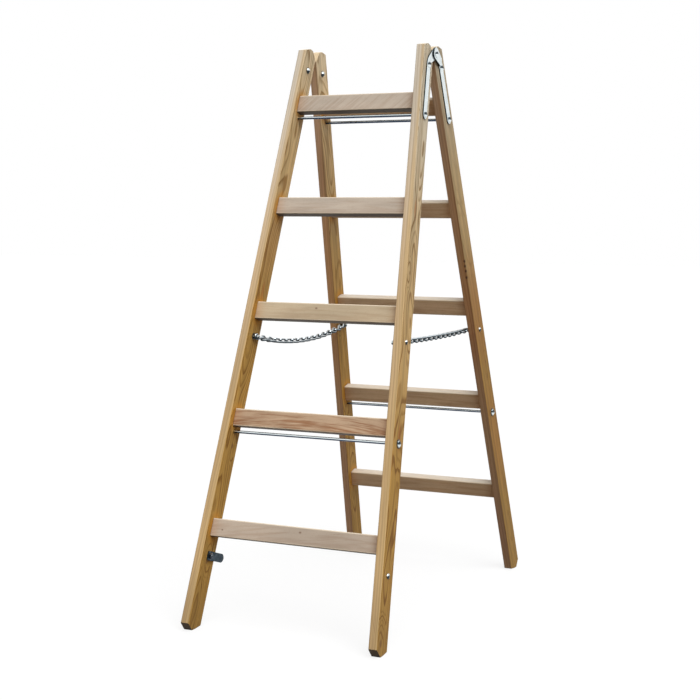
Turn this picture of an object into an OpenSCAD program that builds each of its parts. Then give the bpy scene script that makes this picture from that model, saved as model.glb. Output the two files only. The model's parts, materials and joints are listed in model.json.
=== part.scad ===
// Wooden trestle ladder: two five-rung sections hinged at the top, held apart by two chains.
// Axes: X across the ladder, Y from the front section to the rear one, Z up from the floor.
// Each section is drawn flat in its own frame, with the hinge axis as origin: X across,
// Y outward from the hinge plane, Z up along the section. A "drop" is a distance below the axis.

/* [Stance] */
// Angle of each section from the vertical when the chains are taut
lean_angle = 17.7; // [14:0.1:20]
// Half the distance between the stile centres at the hinge axis
top_half_width = 180; // [160:1:210]
// Angle by which each stile spreads away from the centre line
splay_angle = 3.2; // [2:0.1:4]
// Room left between the two sections when they are folded together
closing_gap = 1; // [0.8:0.1:3]

/* [Stiles] */
// Thickness of a stile across the ladder
stile_thickness = 24; // [22:1:30]
// Depth of a stile from inner to outer edge
stile_depth = 68; // [60:1:76]
// Height of the stile tops above the hinge axis
stile_top = 15; // [12:1:22]
// Length of the feet, from the lowest rung's centre line to the sole
foot_length = 272; // [230:1:400]
// Depth of the bevel at each corner of a stile's ends
end_bevel_depth = 26; // [18:1:28]
// Length of the end bevels along the stile
end_bevel_rise = 14; // [8:1:18]
// Drop of the inner bevel's lower edge, which keeps the tops clear of each other
hinge_relief = 5; // [2:0.5:8]
// Radius of the eased long edges of a stile
arris_radius = 3; // [1:0.5:5]

/* [Rungs] */
// Drop of the top rung's centre line
first_rung = 152; // [145:1:170]
// Distance between rung centre lines
rung_pitch = 300; // [260:1:305]
// Height of a rung
rung_height = 48; // [40:1:52]
// Depth of a rung from front to back
rung_depth = 28; // [24:1:34]
// Radius of the eased long edges of a rung
rung_edge_radius = 3; // [2:0.5:8]
// Depth of the blind mortise that holds a rung end
mortise_depth = 14; // [10:1:17]
// Glue room round a rung end in its mortise
mortise_clearance = 0.1; // [0.05:0.05:0.3]

/* [Tie rods] */
// Diameter of the steel rods that tie the stiles together
tie_rod_diameter = 8; // [6:0.5:8]
// Distance from a rung's underside to the rod centre below it
tie_rod_gap = 14; // [10:1:18]

/* [Hinge] */
// Width of a hinge leaf along the stile
leaf_width = 24; // [20:1:28]
// Thickness of a hinge leaf
leaf_thickness = 4; // [3:0.5:5]
// Radius of the round head of a leaf
eye_radius = 16.5; // [15:0.5:17.5]
// Height of the middle of a leaf's round head above the axis
eye_rise = 3.5; // [1:0.5:5]
// Drop of the shoulder where a leaf's arm runs into its strap
shoulder_drop = 33; // [31:1:40]
// Drop of the bolt at the upper end of a leaf's strap
hinge_bolt_drop = 46; // [45:1:60]
// Drop below which a leaf leaves the head and lies along the stile
leaf_bend_drop = 25; // [24:0.5:27]
// Length over which the rear leaf steps out over the front one
joggle_length = 8; // [6:0.5:9]
// Diameter of the rivet that is the hinge pin
rivet_diameter = 10; // [8:0.5:12]
// Diameter of the rivet's round outer head
rivet_head_diameter = 18; // [15:0.5:20]
// Height of the rivet's round outer head
rivet_head_height = 4; // [3:0.5:6]
// Running clearance of the rivet in its holes
pin_clearance = 0.05; // [0.02:0.01:0.1]
// Free room between the sliding faces of the hinge
sliding_gap = 0.3; // [0.2:0.05:0.5]

/* [Chains] */
// Distance of the chains' bolts below the middle rung's centre line
chain_gap = 71; // [61:1:91]
// Height by which the slack left chain hangs below its bolts in the middle
left_chain_sag = 28; // [16:1:36]
// Height by which the taut right chain hangs below its bolts in the middle
right_chain_sag = 5; // [4:0.5:12]
// Diameter of the chain wire
wire_diameter = 4.6; // [4:0.1:4.8]
// Width of a chain link over its bows
link_width = 16; // [15.5:0.5:16.5]
// Play of each link in the next one
link_play = 0.4; // [0.2:0.1:0.6]
// Distance from a stile's inner face to the middle of the chain
chain_standoff = 9; // [8.8:0.2:12]

/* [Guides] */
// Distance of the closing guides' bolts below the lowest rung's centre line
guide_gap = 75; // [60:1:110]
// Width of a guide plate along the stile
guide_width = 24; // [20:1:32]
// Thickness of a guide plate
guide_thickness = 3; // [2:0.5:4]
// Length of a guide plate past the stile's inner edge
guide_reach = 40; // [30:1:46]
// Distance from a guide plate's square end to its bolt
guide_heel = 9; // [8:1:18]

/* [Fasteners] */
// Diameter of the hinge and guide bolts
bolt_diameter = 8; // [6:0.5:8]
// Diameter of the chain bolts
chain_bolt_diameter = 6; // [5:0.5:6]
// Extra radius of a bolt hole
hole_clearance = 0.3; // [0.25:0.05:0.6]
// Diameter of the round caps that close the rods and the hinge bolts
cap_diameter = 18; // [16:0.5:20]
// Height of the round caps
cap_height = 5; // [4.5:0.5:6]
// Width of a guide bolt's nut across its flats
nut_width = 13; // [12.5:0.5:15]
// Height of a guide bolt's nut
nut_height = 6; // [5:0.5:8]
// Diameter of a washer
washer_diameter = 18; // [16:0.5:24]
// Diameter of the washers under the low rods' caps
rod_washer_diameter = 24; // [20:0.5:28]
// Thickness of a washer
washer_thickness = 1.6; // [1:0.1:2.5]
// Diameter of a bolt's mushroom head
bolt_head_diameter = 15; // [14:0.5:17]
// Height of a bolt's mushroom head
bolt_head_height = 4; // [3:0.5:6]
// Diameter of a chain bolt's mushroom head
chain_head_diameter = 13; // [12:0.5:15]
// Width of a chain bolt's nuts across their flats
chain_nut_width = 10; // [9:0.5:12]
// Height of a chain bolt's nuts
chain_nut_height = 4; // [3:0.2:4]
// Length of bolt that shows past its last nut
bolt_tail = 1; // [0.5:0.5:3]

/* [Hidden] */
$fn = 48;

// Colours as the object shows them
pine = [0.76, 0.58, 0.36];
beech = [0.74, 0.61, 0.47];
zinc = [0.80, 0.84, 0.86];
chain_steel = [0.52, 0.56, 0.60];
guide_steel = [0.33, 0.37, 0.42];

// Hands of the ladder, the rungs, and the rungs that have a tie rod beneath them
left = -1;
right = 1;
hands = [left, right];
rung_numbers = [1, 2, 3, 4, 5];
middle_rung = 3;
lowest_rung = 5;
top_rod_rung = 1;
low_rod_rung = 4;
rod_rungs = [top_rod_rung, low_rod_rung];
// Number of links in a chain, an even number so that each half has as many
link_count = 16;
links_per_half = link_count / 2;
// Roll of the end links, which sets their bows square to the bolts, and of each link after them
end_roll = 45;
roll_step = 15;

// Length by which every cut runs past the solid that it cuts
overrun = 5;
// Drops of the sole in the middle of a stile, of the chains' bolts and of the guides' bolts
stile_foot = rung_drop(lowest_rung) + foot_length;
chain_drop = rung_drop(middle_rung) + chain_gap;
guide_drop = rung_drop(lowest_rung) + guide_gap;
// Hinge axis to the inner face, the middle and the outer face of a stile
stile_inner = closing_gap / 2;
stile_mid = stile_inner + stile_depth / 2;
stile_outer = stile_inner + stile_depth;
// Half a stile's thickness measured across the ladder
half_thickness_across = stile_thickness / 2 / cos(splay_angle);
// Leaf thickness measured across the ladder
leaf_across = leaf_thickness / cos(splay_angle);
// Height of the hinge axis above the floor
hinge_height = stile_foot * cos(lean_angle) - stile_mid * sin(lean_angle);
// Radius of the bolt shanks, the rods and the rivet
bolt_radius = bolt_diameter / 2;
chain_bolt_radius = chain_bolt_diameter / 2;
tie_rod_radius = tie_rod_diameter / 2;
rivet_radius = rivet_diameter / 2;
// Depth by which a shank reaches into a cap, and the depth of the cap's blind hole
cap_grip_share = 0.55;
cap_grip = cap_height * cap_grip_share;
cap_bore_depth = cap_grip + hole_clearance;
// Depth of the rivet's countersunk inner end and how far it widens
countersink = leaf_thickness / 2;
// Inner faces of the two leaf heads, measured across the ladder
front_head = outer_face(leaf_bend_drop);
rear_head = front_head + leaf_across + sliding_gap;
rivet_seat = rear_head + leaf_across + sliding_gap;
// Length of the rivet's shank, which ends inside its outer head
rivet_length = rivet_seat - front_head + rivet_head_height / 2;

// Where a chain hangs on its splayed bolts, measured from the centre of the stile
chain_outset = stile_thickness / 2 + chain_standoff;
hanging_drop = chain_drop + chain_outset * sin(splay_angle);
chain_reach = hanging_drop * sin(lean_angle) + stile_mid * cos(lean_angle);
chain_level = hinge_height - hanging_drop * cos(lean_angle) + stile_mid * sin(lean_angle);
chain_offset = stile_centre(chain_drop) - chain_outset * cos(splay_angle);
// Distance from the middle of a chain to the joint of its end link on the bolt
joint_reach = chain_reach + chain_bolt_radius + hole_clearance - link_play / 2;
// Seats of the two nuts on a chain bolt, with the end link midway between them
chain_nut_gap = chain_standoff - washer_thickness - chain_nut_height;
chain_nut_seats = [washer_thickness, chain_standoff + chain_nut_gap];
// Radius of a link's bows on the wire's centre line
bow_radius = (link_width - wire_diameter) / 2;
// Sizes of a link's strands and of the beads that join them to its bows, as shares of the wire
strand_share = 0.99;
bead_share = 1.04;
// Width of the strip between two circles as a share of its full width
strip_share = 0.995;

// Distance across the ladder from its centre line to a stile's centre, outer and inner faces
function stile_centre(drop) = top_half_width + drop * tan(splay_angle);
function outer_face(drop) = stile_centre(drop) + half_thickness_across;
function inner_face(drop) = stile_centre(drop) - half_thickness_across;
// Drops of the rungs and of the rods beneath them
function rung_drop(number) = first_rung + (number - 1) * rung_pitch;
function rod_drop(number) = rung_drop(number) + rung_height / 2 + tie_rod_gap;
// Half the length of a rung, from the centre line to the bottom of its mortise
function rung_half_length(number) = inner_face(rung_drop(number)) + mortise_depth;
// Seat of a rod's cap: on the hinge strap at the top, on a washer lower down
function rod_seat(number) = number == top_rod_rung ? leaf_thickness : washer_thickness;
// Drop of a rod's cap or washer, whose splayed hole meets the level rod at an outset from the stile
function rod_fitting_drop(number, outset) =
  rod_drop(number) + (stile_thickness / 2 + outset) * sin(splay_angle);
// Sag of the chain on a hand, the radius of its arc, and the angle that one link spans there
function chain_sag(hand) = hand == left ? left_chain_sag : right_chain_sag;
function arc_radius(sag) = (joint_reach * joint_reach + sag * sag) / (2 * sag);
function link_angle(sag) = 2 * asin(joint_reach / arc_radius(sag)) / link_count;
// Distance between a chain's joints, and from a link's centre to the middle of a bow
function link_pitch(sag) = 2 * arc_radius(sag) * sin(link_angle(sag) / 2);
function bow_centre(sag) = (link_pitch(sag) + link_play + wire_diameter) / 2 - bow_radius;
// Height by which a chain's end joints lie above its bolts, as the end links rise towards them
function end_lift(sag) = (joint_reach - chain_reach) * sin((link_count - 1) / 2 * link_angle(sag));
// Roll of a link about the chain, eased back to square at both ends
function link_roll(index) =
  max(0, end_roll - index * roll_step) - max(0, end_roll - (link_count - 1 - index) * roll_step);

// Stand a flat section up at its lean, on the rear or the front side
module rear_side() {
  translate([0, 0, hinge_height]) rotate([lean_angle, 0, 0]) children();
}

module front_side() {
  mirror([0, 1, 0]) rear_side() children();
}

// Put a shape for the right-hand side on either hand
module on_hand(hand) {
  if (hand == left) mirror([1, 0, 0]) children();
  else children();
}

// Lay a shape along a right-hand stile: origin on the stile's centre at the hinge axis
module along_stile() {
  translate([top_half_width, 0, 0]) rotate([0, -splay_angle, 0]) children();
}

// Set a fastener on a stile's face at a drop and depth, with X pointing away from the wood
module on_outer_face(drop, depth) {
  along_stile() translate([stile_thickness / 2, depth, -drop / cos(splay_angle)]) children();
}

module on_inner_face(drop, depth) {
  along_stile() translate([-stile_thickness / 2, depth, -drop / cos(splay_angle)])
    mirror([1, 0, 0]) children();
}

// A straight solid along X whose section is drawn in Y and Z
module extrude_across(length) {
  rotate([90, 0, 90]) linear_extrude(length) children();
}

module rounded_rectangle(width, height, radius) {
  square([width - 2 * radius, height], center = true);
  square([width, height - 2 * radius], center = true);
  for (x = [-1, 1], y = [-1, 1])
    translate([x * (width / 2 - radius), y * (height / 2 - radius)]) circle(radius);
}

module rod_along(radius, length) {
  rotate([0, 90, 0]) cylinder(r = radius, h = length);
}

// The strip between the outer tangents of two circles, a shade narrower so that its sides cut them
module tangent_strip(p, p_radius, q, q_radius) {
  heading = atan2(q[1] - p[1], q[0] - p[0]);
  spread = acos((p_radius - q_radius) / norm(q - p));
  side_a = strip_share * [cos(heading + spread), sin(heading + spread)];
  side_b = strip_share * [cos(heading - spread), sin(heading - spread)];
  polygon([p + p_radius * side_b, q + q_radius * side_b, q + q_radius * side_a, p + p_radius * side_a]);
}

// Fasteners: each stands on its seat at X = 0 and points along X
module washer(diameter, shank_radius) {
  difference() {
    rod_along(diameter / 2, washer_thickness);
    translate([-overrun, 0, 0]) rod_along(shank_radius + hole_clearance, washer_thickness + 2 * overrun);
  }
}

module hex_nut(width, height, shank_radius) {
  difference() {
    rotate([0, 90, 0]) cylinder(d = width / cos(30), h = height, $fn = 6);
    translate([-overrun, 0, 0]) rod_along(shank_radius + hole_clearance, height + 2 * overrun);
  }
}

// A shallow round cap of the given width and height
module mushroom_head(diameter, height) {
  cap_radius = (diameter * diameter / 4 + height * height) / (2 * height);
  rotate([0, 90, 0]) rotate_extrude() intersection() {
    square([diameter / 2, height]);
    translate([0, height - cap_radius]) circle(cap_radius);
  }
}

// A low round nut that hides the end of its shank
module cap_nut(shank_radius) {
  difference() {
    mushroom_head(cap_diameter, cap_height);
    translate([-overrun, 0, 0]) rod_along(shank_radius + hole_clearance, cap_bore_depth + overrun);
  }
}

module coach_bolt(head_diameter, head_height, shank_radius, length) {
  mushroom_head(head_diameter, head_height);
  translate([-length, 0, 0]) rod_along(shank_radius, length);
}

// The outline of a stile seen from the side: bevelled top and foot, the sole level on the floor
module stile_outline() {
  inner_edge = stile_inner + end_bevel_depth;
  outer_edge = stile_outer - end_bevel_depth;
  sole_slope = tan(lean_angle);
  polygon([
    [stile_inner, -hinge_relief],
    [inner_edge, stile_top],
    [outer_edge, stile_top],
    [stile_outer, stile_top - end_bevel_rise],
    [stile_outer, end_bevel_rise - stile_foot],
    [outer_edge, -stile_foot - (outer_edge - stile_mid) * sole_slope],
    [inner_edge, -stile_foot - (inner_edge - stile_mid) * sole_slope],
    [stile_inner, end_bevel_rise - stile_foot]
  ]);
}

module stile_bar() {
  bar_length = (stile_top + stile_foot) / cos(splay_angle) + 2 * stile_depth;
  intersection() {
    along_stile() translate([0, stile_mid, stile_top + stile_depth - bar_length])
      linear_extrude(bar_length) rounded_rectangle(stile_thickness, stile_depth, arris_radius);
    extrude_across(outer_face(stile_foot) + stile_thickness) stile_outline();
  }
}

module rung_bar(number, clearance) {
  half_length = rung_half_length(number) + clearance;
  width = rung_depth + 2 * clearance;
  height = rung_height + 2 * clearance;
  translate([-half_length, stile_mid, -rung_drop(number)]) extrude_across(2 * half_length)
    rounded_rectangle(width, height, rung_edge_radius + clearance);
}

// A hole through a stile, square to its faces
module stile_hole(drop, depth, shank_radius) {
  on_inner_face(drop, depth) translate([-stile_thickness - overrun, 0, 0])
    rod_along(shank_radius + hole_clearance, stile_thickness + 2 * overrun);
}

// A hole for a tie rod, along the rod
module rod_hole(number) {
  translate([0, stile_mid, -rod_drop(number)])
    rod_along(tie_rod_radius + hole_clearance, outer_face(rod_drop(number)) + leaf_across + overrun);
}

// A right-hand stile with its mortises and the holes that front and rear share
module stile_with_joints() {
  difference() {
    stile_bar();
    for (number = rung_numbers) rung_bar(number, mortise_clearance);
    for (number = rod_rungs) rod_hole(number);
    stile_hole(hinge_bolt_drop, stile_mid, bolt_radius);
    stile_hole(chain_drop, stile_mid, chain_bolt_radius);
  }
}

module front_stile(hand) {
  color(pine) front_side() on_hand(hand) difference() {
    stile_with_joints();
    stile_hole(guide_drop, stile_mid, bolt_radius);
  }
}

module rear_stile(hand) {
  color(pine) rear_side() on_hand(hand) stile_with_joints();
}

module front_rung(number) {
  color(beech) front_side() rung_bar(number, 0);
}

module rear_rung(number) {
  color(beech) rear_side() rung_bar(number, 0);
}

module tie_rod(number) {
  half_length = outer_face(rod_drop(number)) + rod_seat(number) + cap_grip;
  translate([-half_length, stile_mid, -rod_drop(number)]) rod_along(tie_rod_radius, 2 * half_length);
}

module front_tie_rod(number) {
  color(zinc) front_side() tie_rod(number);
}

module rear_tie_rod(number) {
  color(zinc) rear_side() tie_rod(number);
}

module tie_rod_nuts() {
  for (hand = hands, number = rod_rungs) {
    mid_grip = rod_seat(number) + cap_grip / 2;
    on_hand(hand) on_outer_face(rod_fitting_drop(number, mid_grip), stile_mid)
      translate([rod_seat(number), 0, 0]) cap_nut(tie_rod_radius);
  }
}

module front_tie_rod_nuts() {
  color(zinc) front_side() tie_rod_nuts();
}

module rear_tie_rod_nuts() {
  color(zinc) rear_side() tie_rod_nuts();
}

module tie_rod_washers() {
  for (hand = hands)
    on_hand(hand) on_outer_face(rod_fitting_drop(low_rod_rung, washer_thickness / 2), stile_mid)
      washer(rod_washer_diameter, tie_rod_radius);
}

module front_tie_rod_washers() {
  color(zinc) front_side() tie_rod_washers();
}

module rear_tie_rod_washers() {
  color(zinc) rear_side() tie_rod_washers();
}

// The outline of a hinge leaf seen from the side: round head, arm, and strap down to the tie rod
module leaf_outline() {
  head = [0, eye_rise];
  shoulder = [stile_mid, -shoulder_drop];
  lower_end = [stile_mid, -rod_drop(top_rod_rung)];
  translate(head) circle(eye_radius);
  translate(shoulder) circle(d = leaf_width);
  translate(lower_end) circle(d = leaf_width);
  tangent_strip(head, eye_radius, shoulder, leaf_width / 2);
  tangent_strip(shoulder, leaf_width / 2, lower_end, leaf_width / 2);
}

// The edge of a leaf seen from the front: its flat head, any step, and the strap along the stile
module leaf_edge(head, step) {
  head_top = eye_rise + eye_radius + overrun;
  strap_start = leaf_bend_drop + step;
  strap_end = rod_drop(top_rod_rung) + leaf_width;
  polygon([
    [head, head_top],
    [head, -leaf_bend_drop],
    [outer_face(strap_start), -strap_start],
    [outer_face(strap_end), -strap_end],
    [outer_face(strap_end) + leaf_across, -strap_end],
    [outer_face(strap_start) + leaf_across, -strap_start],
    [head + leaf_across, -leaf_bend_drop],
    [head + leaf_across, head_top]
  ]);
}

module hinge_leaf(head, step) {
  difference() {
    intersection() {
      extrude_across(outer_face(stile_foot)) leaf_outline();
      translate([0, stile_outer, 0]) rotate([90, 0, 0])
        linear_extrude(stile_outer + 2 * eye_radius) leaf_edge(head, step);
    }
    rod_along(rivet_radius + pin_clearance, outer_face(stile_foot));
    stile_hole_beyond(hinge_bolt_drop);
    rod_hole(top_rod_rung);
  }
}

// The bolt hole of a stile carried on through the leaf that lies on it
module stile_hole_beyond(drop) {
  on_outer_face(drop, stile_mid) translate([-overrun, 0, 0])
    rod_along(bolt_radius + hole_clearance, leaf_thickness + 2 * overrun);
}

// The widened mouth of the front leaf's rivet hole
module rivet_countersink(clearance) {
  translate([front_head, 0, 0]) rotate([0, 90, 0])
    cylinder(r1 = rivet_radius + countersink + clearance, r2 = rivet_radius + clearance, h = countersink);
}

module front_hinge_leaf(hand) {
  color(zinc) front_side() on_hand(hand) difference() {
    hinge_leaf(front_head, 0);
    rivet_countersink(pin_clearance);
  }
}

module rear_hinge_leaf(hand) {
  color(zinc) rear_side() on_hand(hand) hinge_leaf(rear_head, joggle_length);
}

// Rivets: flush and countersunk on the inside, round-headed outside
module hinge_rivets() {
  color(zinc) front_side() for (hand = hands) on_hand(hand) {
    rivet_countersink(0);
    translate([front_head, 0, 0]) rod_along(rivet_radius, rivet_length);
    translate([rivet_seat, 0, 0]) mushroom_head(rivet_head_diameter, rivet_head_height);
  }
}

// Hinge bolts: heads on washers inside the ladder, round caps on the leaves outside
module hinge_bolts() {
  bolt_length = washer_thickness + stile_thickness + leaf_thickness + cap_grip;
  for (hand = hands) on_hand(hand) on_inner_face(hinge_bolt_drop, stile_mid)
    translate([washer_thickness, 0, 0])
      coach_bolt(bolt_head_diameter, bolt_head_height, bolt_radius, bolt_length);
}

module front_hinge_bolts() {
  color(zinc) front_side() hinge_bolts();
}

module rear_hinge_bolts() {
  color(zinc) rear_side() hinge_bolts();
}

module hinge_nuts() {
  for (hand = hands) on_hand(hand) on_outer_face(hinge_bolt_drop, stile_mid)
    translate([leaf_thickness, 0, 0]) cap_nut(bolt_radius);
}

module front_hinge_nuts() {
  color(zinc) front_side() hinge_nuts();
}

module rear_hinge_nuts() {
  color(zinc) rear_side() hinge_nuts();
}

module hinge_washers() {
  for (hand = hands) on_hand(hand) on_inner_face(hinge_bolt_drop, stile_mid)
    washer(washer_diameter, bolt_radius);
}

module front_hinge_washers() {
  color(zinc) front_side() hinge_washers();
}

module rear_hinge_washers() {
  color(zinc) rear_side() hinge_washers();
}

// Chain bolts: a washer and nut clamp the wood, and a second nut keeps the end link on
module chain_bolts() {
  bolt_length = stile_thickness + chain_nut_seats[1] + chain_nut_height + bolt_tail;
  for (hand = hands) on_hand(hand) on_outer_face(chain_drop, stile_mid)
    coach_bolt(chain_head_diameter, bolt_head_height, chain_bolt_radius, bolt_length);
}

module front_chain_bolts() {
  color(zinc) front_side() chain_bolts();
}

module rear_chain_bolts() {
  color(zinc) rear_side() chain_bolts();
}

module chain_nuts() {
  for (hand = hands, seat = chain_nut_seats) on_hand(hand) on_inner_face(chain_drop, stile_mid)
    translate([seat, 0, 0]) hex_nut(chain_nut_width, chain_nut_height, chain_bolt_radius);
}

module front_chain_nuts() {
  color(zinc) front_side() chain_nuts();
}

module rear_chain_nuts() {
  color(zinc) rear_side() chain_nuts();
}

module chain_washers() {
  for (hand = hands) on_hand(hand) on_inner_face(chain_drop, stile_mid)
    washer(washer_diameter, chain_bolt_radius);
}

module front_chain_washers() {
  color(zinc) front_side() chain_washers();
}

module rear_chain_washers() {
  color(zinc) rear_side() chain_washers();
}

// The half ring of wire at one end of a link, opening along -Y, in the plane at an angle to Z
module link_bow(angle) {
  rotate([0, angle, 0]) rotate([0, -90, 0]) rotate_extrude(angle = 180)
    translate([bow_radius, 0]) circle(d = wire_diameter);
}

// A straight wire from one point to another
module wire_strand(p, q) {
  run = q - p;
  translate(p) rotate([0, acos(run[2] / norm(run)), atan2(run[1], run[0])])
    cylinder(d = wire_diameter * strand_share, h = norm(run));
}

// The end of a bow: its place along the link, and its angle from Z
function bow_end(place, angle) = [bow_radius * sin(angle), place, bow_radius * cos(angle)];

// A link along Y whose end bows, at a distance from its centre, are turned a quarter from each other
module twisted_link(bow_distance) {
  quarter = 90;
  near_angle = -quarter / 2;
  far_angle = quarter / 2;
  translate([0, bow_distance, 0]) link_bow(far_angle);
  mirror([0, 1, 0]) translate([0, bow_distance, 0]) link_bow(near_angle);
  for (turn = [0, 2 * quarter]) {
    near_end = bow_end(-bow_distance, near_angle + turn);
    far_end = bow_end(bow_distance, far_angle + turn);
    wire_strand(near_end, far_end);
    for (end = [near_end, far_end])
      translate(end) rotate([quarter / 3, quarter / 2, 0]) sphere(d = wire_diameter * bead_share);
  }
}

// Half a chain: a run of links along the shallow arc in which the chain hangs
module chain_half(hand, first_link) {
  sag = chain_sag(hand);
  link_reach = arc_radius(sag) * cos(link_angle(sag) / 2);
  arc_centre = chain_level + end_lift(sag) - sag + arc_radius(sag);
  color(chain_steel) on_hand(hand) for (index = [first_link : first_link + links_per_half - 1]) {
    place = (index + 1 / 2 - links_per_half) * link_angle(sag);
    translate([chain_offset, link_reach * sin(place), arc_centre - link_reach * cos(place)])
      rotate([place, 0, 0]) rotate([0, link_roll(index), 0]) twisted_link(bow_centre(sag));
  }
}

// Closing guides: plates on the front stiles' inner faces that keep the folded sections in line
module guide_plate(hand) {
  color(guide_steel) front_side() on_hand(hand) on_inner_face(guide_drop, 0)
    translate([washer_thickness, 0, 0]) difference() {
      extrude_across(guide_thickness) {
        translate([guide_width / 2 - guide_reach, 0]) circle(d = guide_width);
        translate([guide_width / 2 - guide_reach, -guide_width / 2])
          square([stile_mid + guide_heel + guide_reach - guide_width / 2, guide_width]);
      }
      translate([-overrun, stile_mid, 0])
        rod_along(bolt_radius + hole_clearance, guide_thickness + 2 * overrun);
    }
}

module guide_bolts() {
  bolt_length = stile_thickness + washer_thickness + guide_thickness + nut_height + bolt_tail;
  color(zinc) front_side() for (hand = hands) on_hand(hand) on_outer_face(guide_drop, stile_mid)
    coach_bolt(bolt_head_diameter, bolt_head_height, bolt_radius, bolt_length);
}

module guide_nuts() {
  color(zinc) front_side() for (hand = hands) on_hand(hand) on_inner_face(guide_drop, stile_mid)
    translate([washer_thickness + guide_thickness, 0, 0]) hex_nut(nut_width, nut_height, bolt_radius);
}

module guide_spacers() {
  color(zinc) front_side() for (hand = hands) on_hand(hand) on_inner_face(guide_drop, stile_mid)
    washer(washer_diameter, bolt_radius);
}

front_stile(left);  // front_left_stile
front_stile(right);  // front_right_stile
front_rung(1);  // front_rung_1
front_rung(2);  // front_rung_2
front_rung(3);  // front_rung_3
front_rung(4);  // front_rung_4
front_rung(5);  // front_rung_5
front_tie_rod(top_rod_rung);  // front_top_tie_rod
front_tie_rod(low_rod_rung);  // front_low_tie_rod
front_tie_rod_nuts();
front_tie_rod_washers();
front_hinge_leaf(left);  // front_left_hinge_leaf
front_hinge_leaf(right);  // front_right_hinge_leaf
hinge_rivets();
front_hinge_bolts();
front_hinge_nuts();
front_hinge_washers();
front_chain_bolts();
front_chain_nuts();
front_chain_washers();
guide_plate(left);  // left_guide_plate
guide_plate(right);  // right_guide_plate
guide_bolts();
guide_nuts();
guide_spacers();
rear_stile(left);  // rear_left_stile
rear_stile(right);  // rear_right_stile
rear_rung(1);  // rear_rung_1
rear_rung(2);  // rear_rung_2
rear_rung(3);  // rear_rung_3
rear_rung(4);  // rear_rung_4
rear_rung(5);  // rear_rung_5
rear_tie_rod(top_rod_rung);  // rear_top_tie_rod
rear_tie_rod(low_rod_rung);  // rear_low_tie_rod
rear_tie_rod_nuts();
rear_tie_rod_washers();
rear_hinge_leaf(left);  // rear_left_hinge_leaf
rear_hinge_leaf(right);  // rear_right_hinge_leaf
rear_hinge_bolts();
rear_hinge_nuts();
rear_hinge_washers();
rear_chain_bolts();
rear_chain_nuts();
rear_chain_washers();
chain_half(left, 0);  // left_chain_front_half
chain_half(left, links_per_half);  // left_chain_rear_half
chain_half(right, 0);  // right_chain_front_half
chain_half(right, links_per_half);  // right_chain_rear_half
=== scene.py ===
import json
import math
from typing import NamedTuple, Sequence

import bmesh
import bpy
import numpy as np
from mathutils import Matrix, Vector


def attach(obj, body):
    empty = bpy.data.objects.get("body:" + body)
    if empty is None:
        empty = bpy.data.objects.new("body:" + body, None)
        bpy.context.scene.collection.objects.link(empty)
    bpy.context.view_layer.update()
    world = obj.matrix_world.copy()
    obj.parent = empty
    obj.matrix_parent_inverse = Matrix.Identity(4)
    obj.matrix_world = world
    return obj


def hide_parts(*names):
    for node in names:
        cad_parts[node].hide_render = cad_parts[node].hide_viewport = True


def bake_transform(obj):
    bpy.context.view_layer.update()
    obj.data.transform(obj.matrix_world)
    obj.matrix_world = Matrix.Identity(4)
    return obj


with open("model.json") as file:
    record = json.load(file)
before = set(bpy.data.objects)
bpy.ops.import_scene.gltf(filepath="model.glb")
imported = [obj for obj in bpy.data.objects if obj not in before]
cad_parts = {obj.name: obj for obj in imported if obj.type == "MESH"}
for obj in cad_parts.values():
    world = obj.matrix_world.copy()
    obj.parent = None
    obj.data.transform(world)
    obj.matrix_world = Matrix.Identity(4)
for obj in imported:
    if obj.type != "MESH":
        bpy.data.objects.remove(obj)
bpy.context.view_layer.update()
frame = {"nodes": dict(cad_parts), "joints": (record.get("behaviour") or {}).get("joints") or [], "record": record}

# Sides of the ladder, and the names that its nodes and bodies have
FRONT, REAR = -1, 1
LEFT, RIGHT = -1, 1
OUTER_FACE, INNER_FACE = 1, -1
SIDE_NAMES = {FRONT: "front", REAR: "rear"}
HAND_NAMES = {LEFT: "left", RIGHT: "right"}
BODIES = frame["record"]["behaviour"]["bodies"]
NODE_BODIES = {node: body for body, nodes in BODIES.items() for node in nodes}

# Sizes of the ladder in metres, as its solids have them
MM = 0.001
FOLD = next(joint for joint in frame["joints"] if joint["name"] == "fold")
HINGE_HEIGHT = FOLD["pos_m"][2]
LEAN = math.radians(FOLD["range_deg"][1]) / 2
SPLAY = math.radians(3.2)
TOP_HALF_WIDTH = 180 * MM
STILE_THICKNESS = 24 * MM
STILE_DEPTH = 68 * MM
STILE_MID = 34.5 * MM
RUNG_HEIGHT = 48 * MM
RUNG_DEPTH = 28 * MM
FIRST_RUNG = 152 * MM
RUNG_PITCH = 300 * MM
RUNG_NUMBERS = (1, 2, 3, 4, 5)
ROD_RADIUS = 4 * MM
ROD_RUNGS = {"top": 1, "low": 4}
ROD_GAP = 14 * MM
LEAF_WIDTH = 24 * MM
LEAF_THICKNESS = 4 * MM
EYE_RADIUS = 16.5 * MM
EYE_RISE = 3.5 * MM
SHOULDER_DROP = 33 * MM
LEAF_BEND_DROP = 25 * MM
LEAF_BEND_LENGTHS = {FRONT: 0.1 * MM, REAR: 8 * MM}
SLIDING_GAP = 0.3 * MM
HINGE_BOLT_DROP = 46 * MM
RIVET_RADIUS = 5 * MM
BOLT_RADIUS = 4 * MM
CHAIN_BOLT_RADIUS = 3 * MM
CHAIN_BOLT_PLAY = 0.3 * MM
NUT_WIDTH = 13 * MM
NUT_HEIGHT = 6 * MM
CHAIN_NUT_WIDTH = 10 * MM
CHAIN_NUT_HEIGHT = 4 * MM
WASHER_RADIUS = 9 * MM
ROD_WASHER_RADIUS = 12 * MM
WASHER_THICKNESS = 1.6 * MM
CAP_GRIP = 2.75 * MM
BOLT_TAIL = 1 * MM
CHAIN_DROP = 823 * MM
CHAIN_STANDOFF = 9 * MM
CHAIN_SAGS = {LEFT: 28 * MM, RIGHT: 5 * MM}
LINK_COUNT = 16
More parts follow.
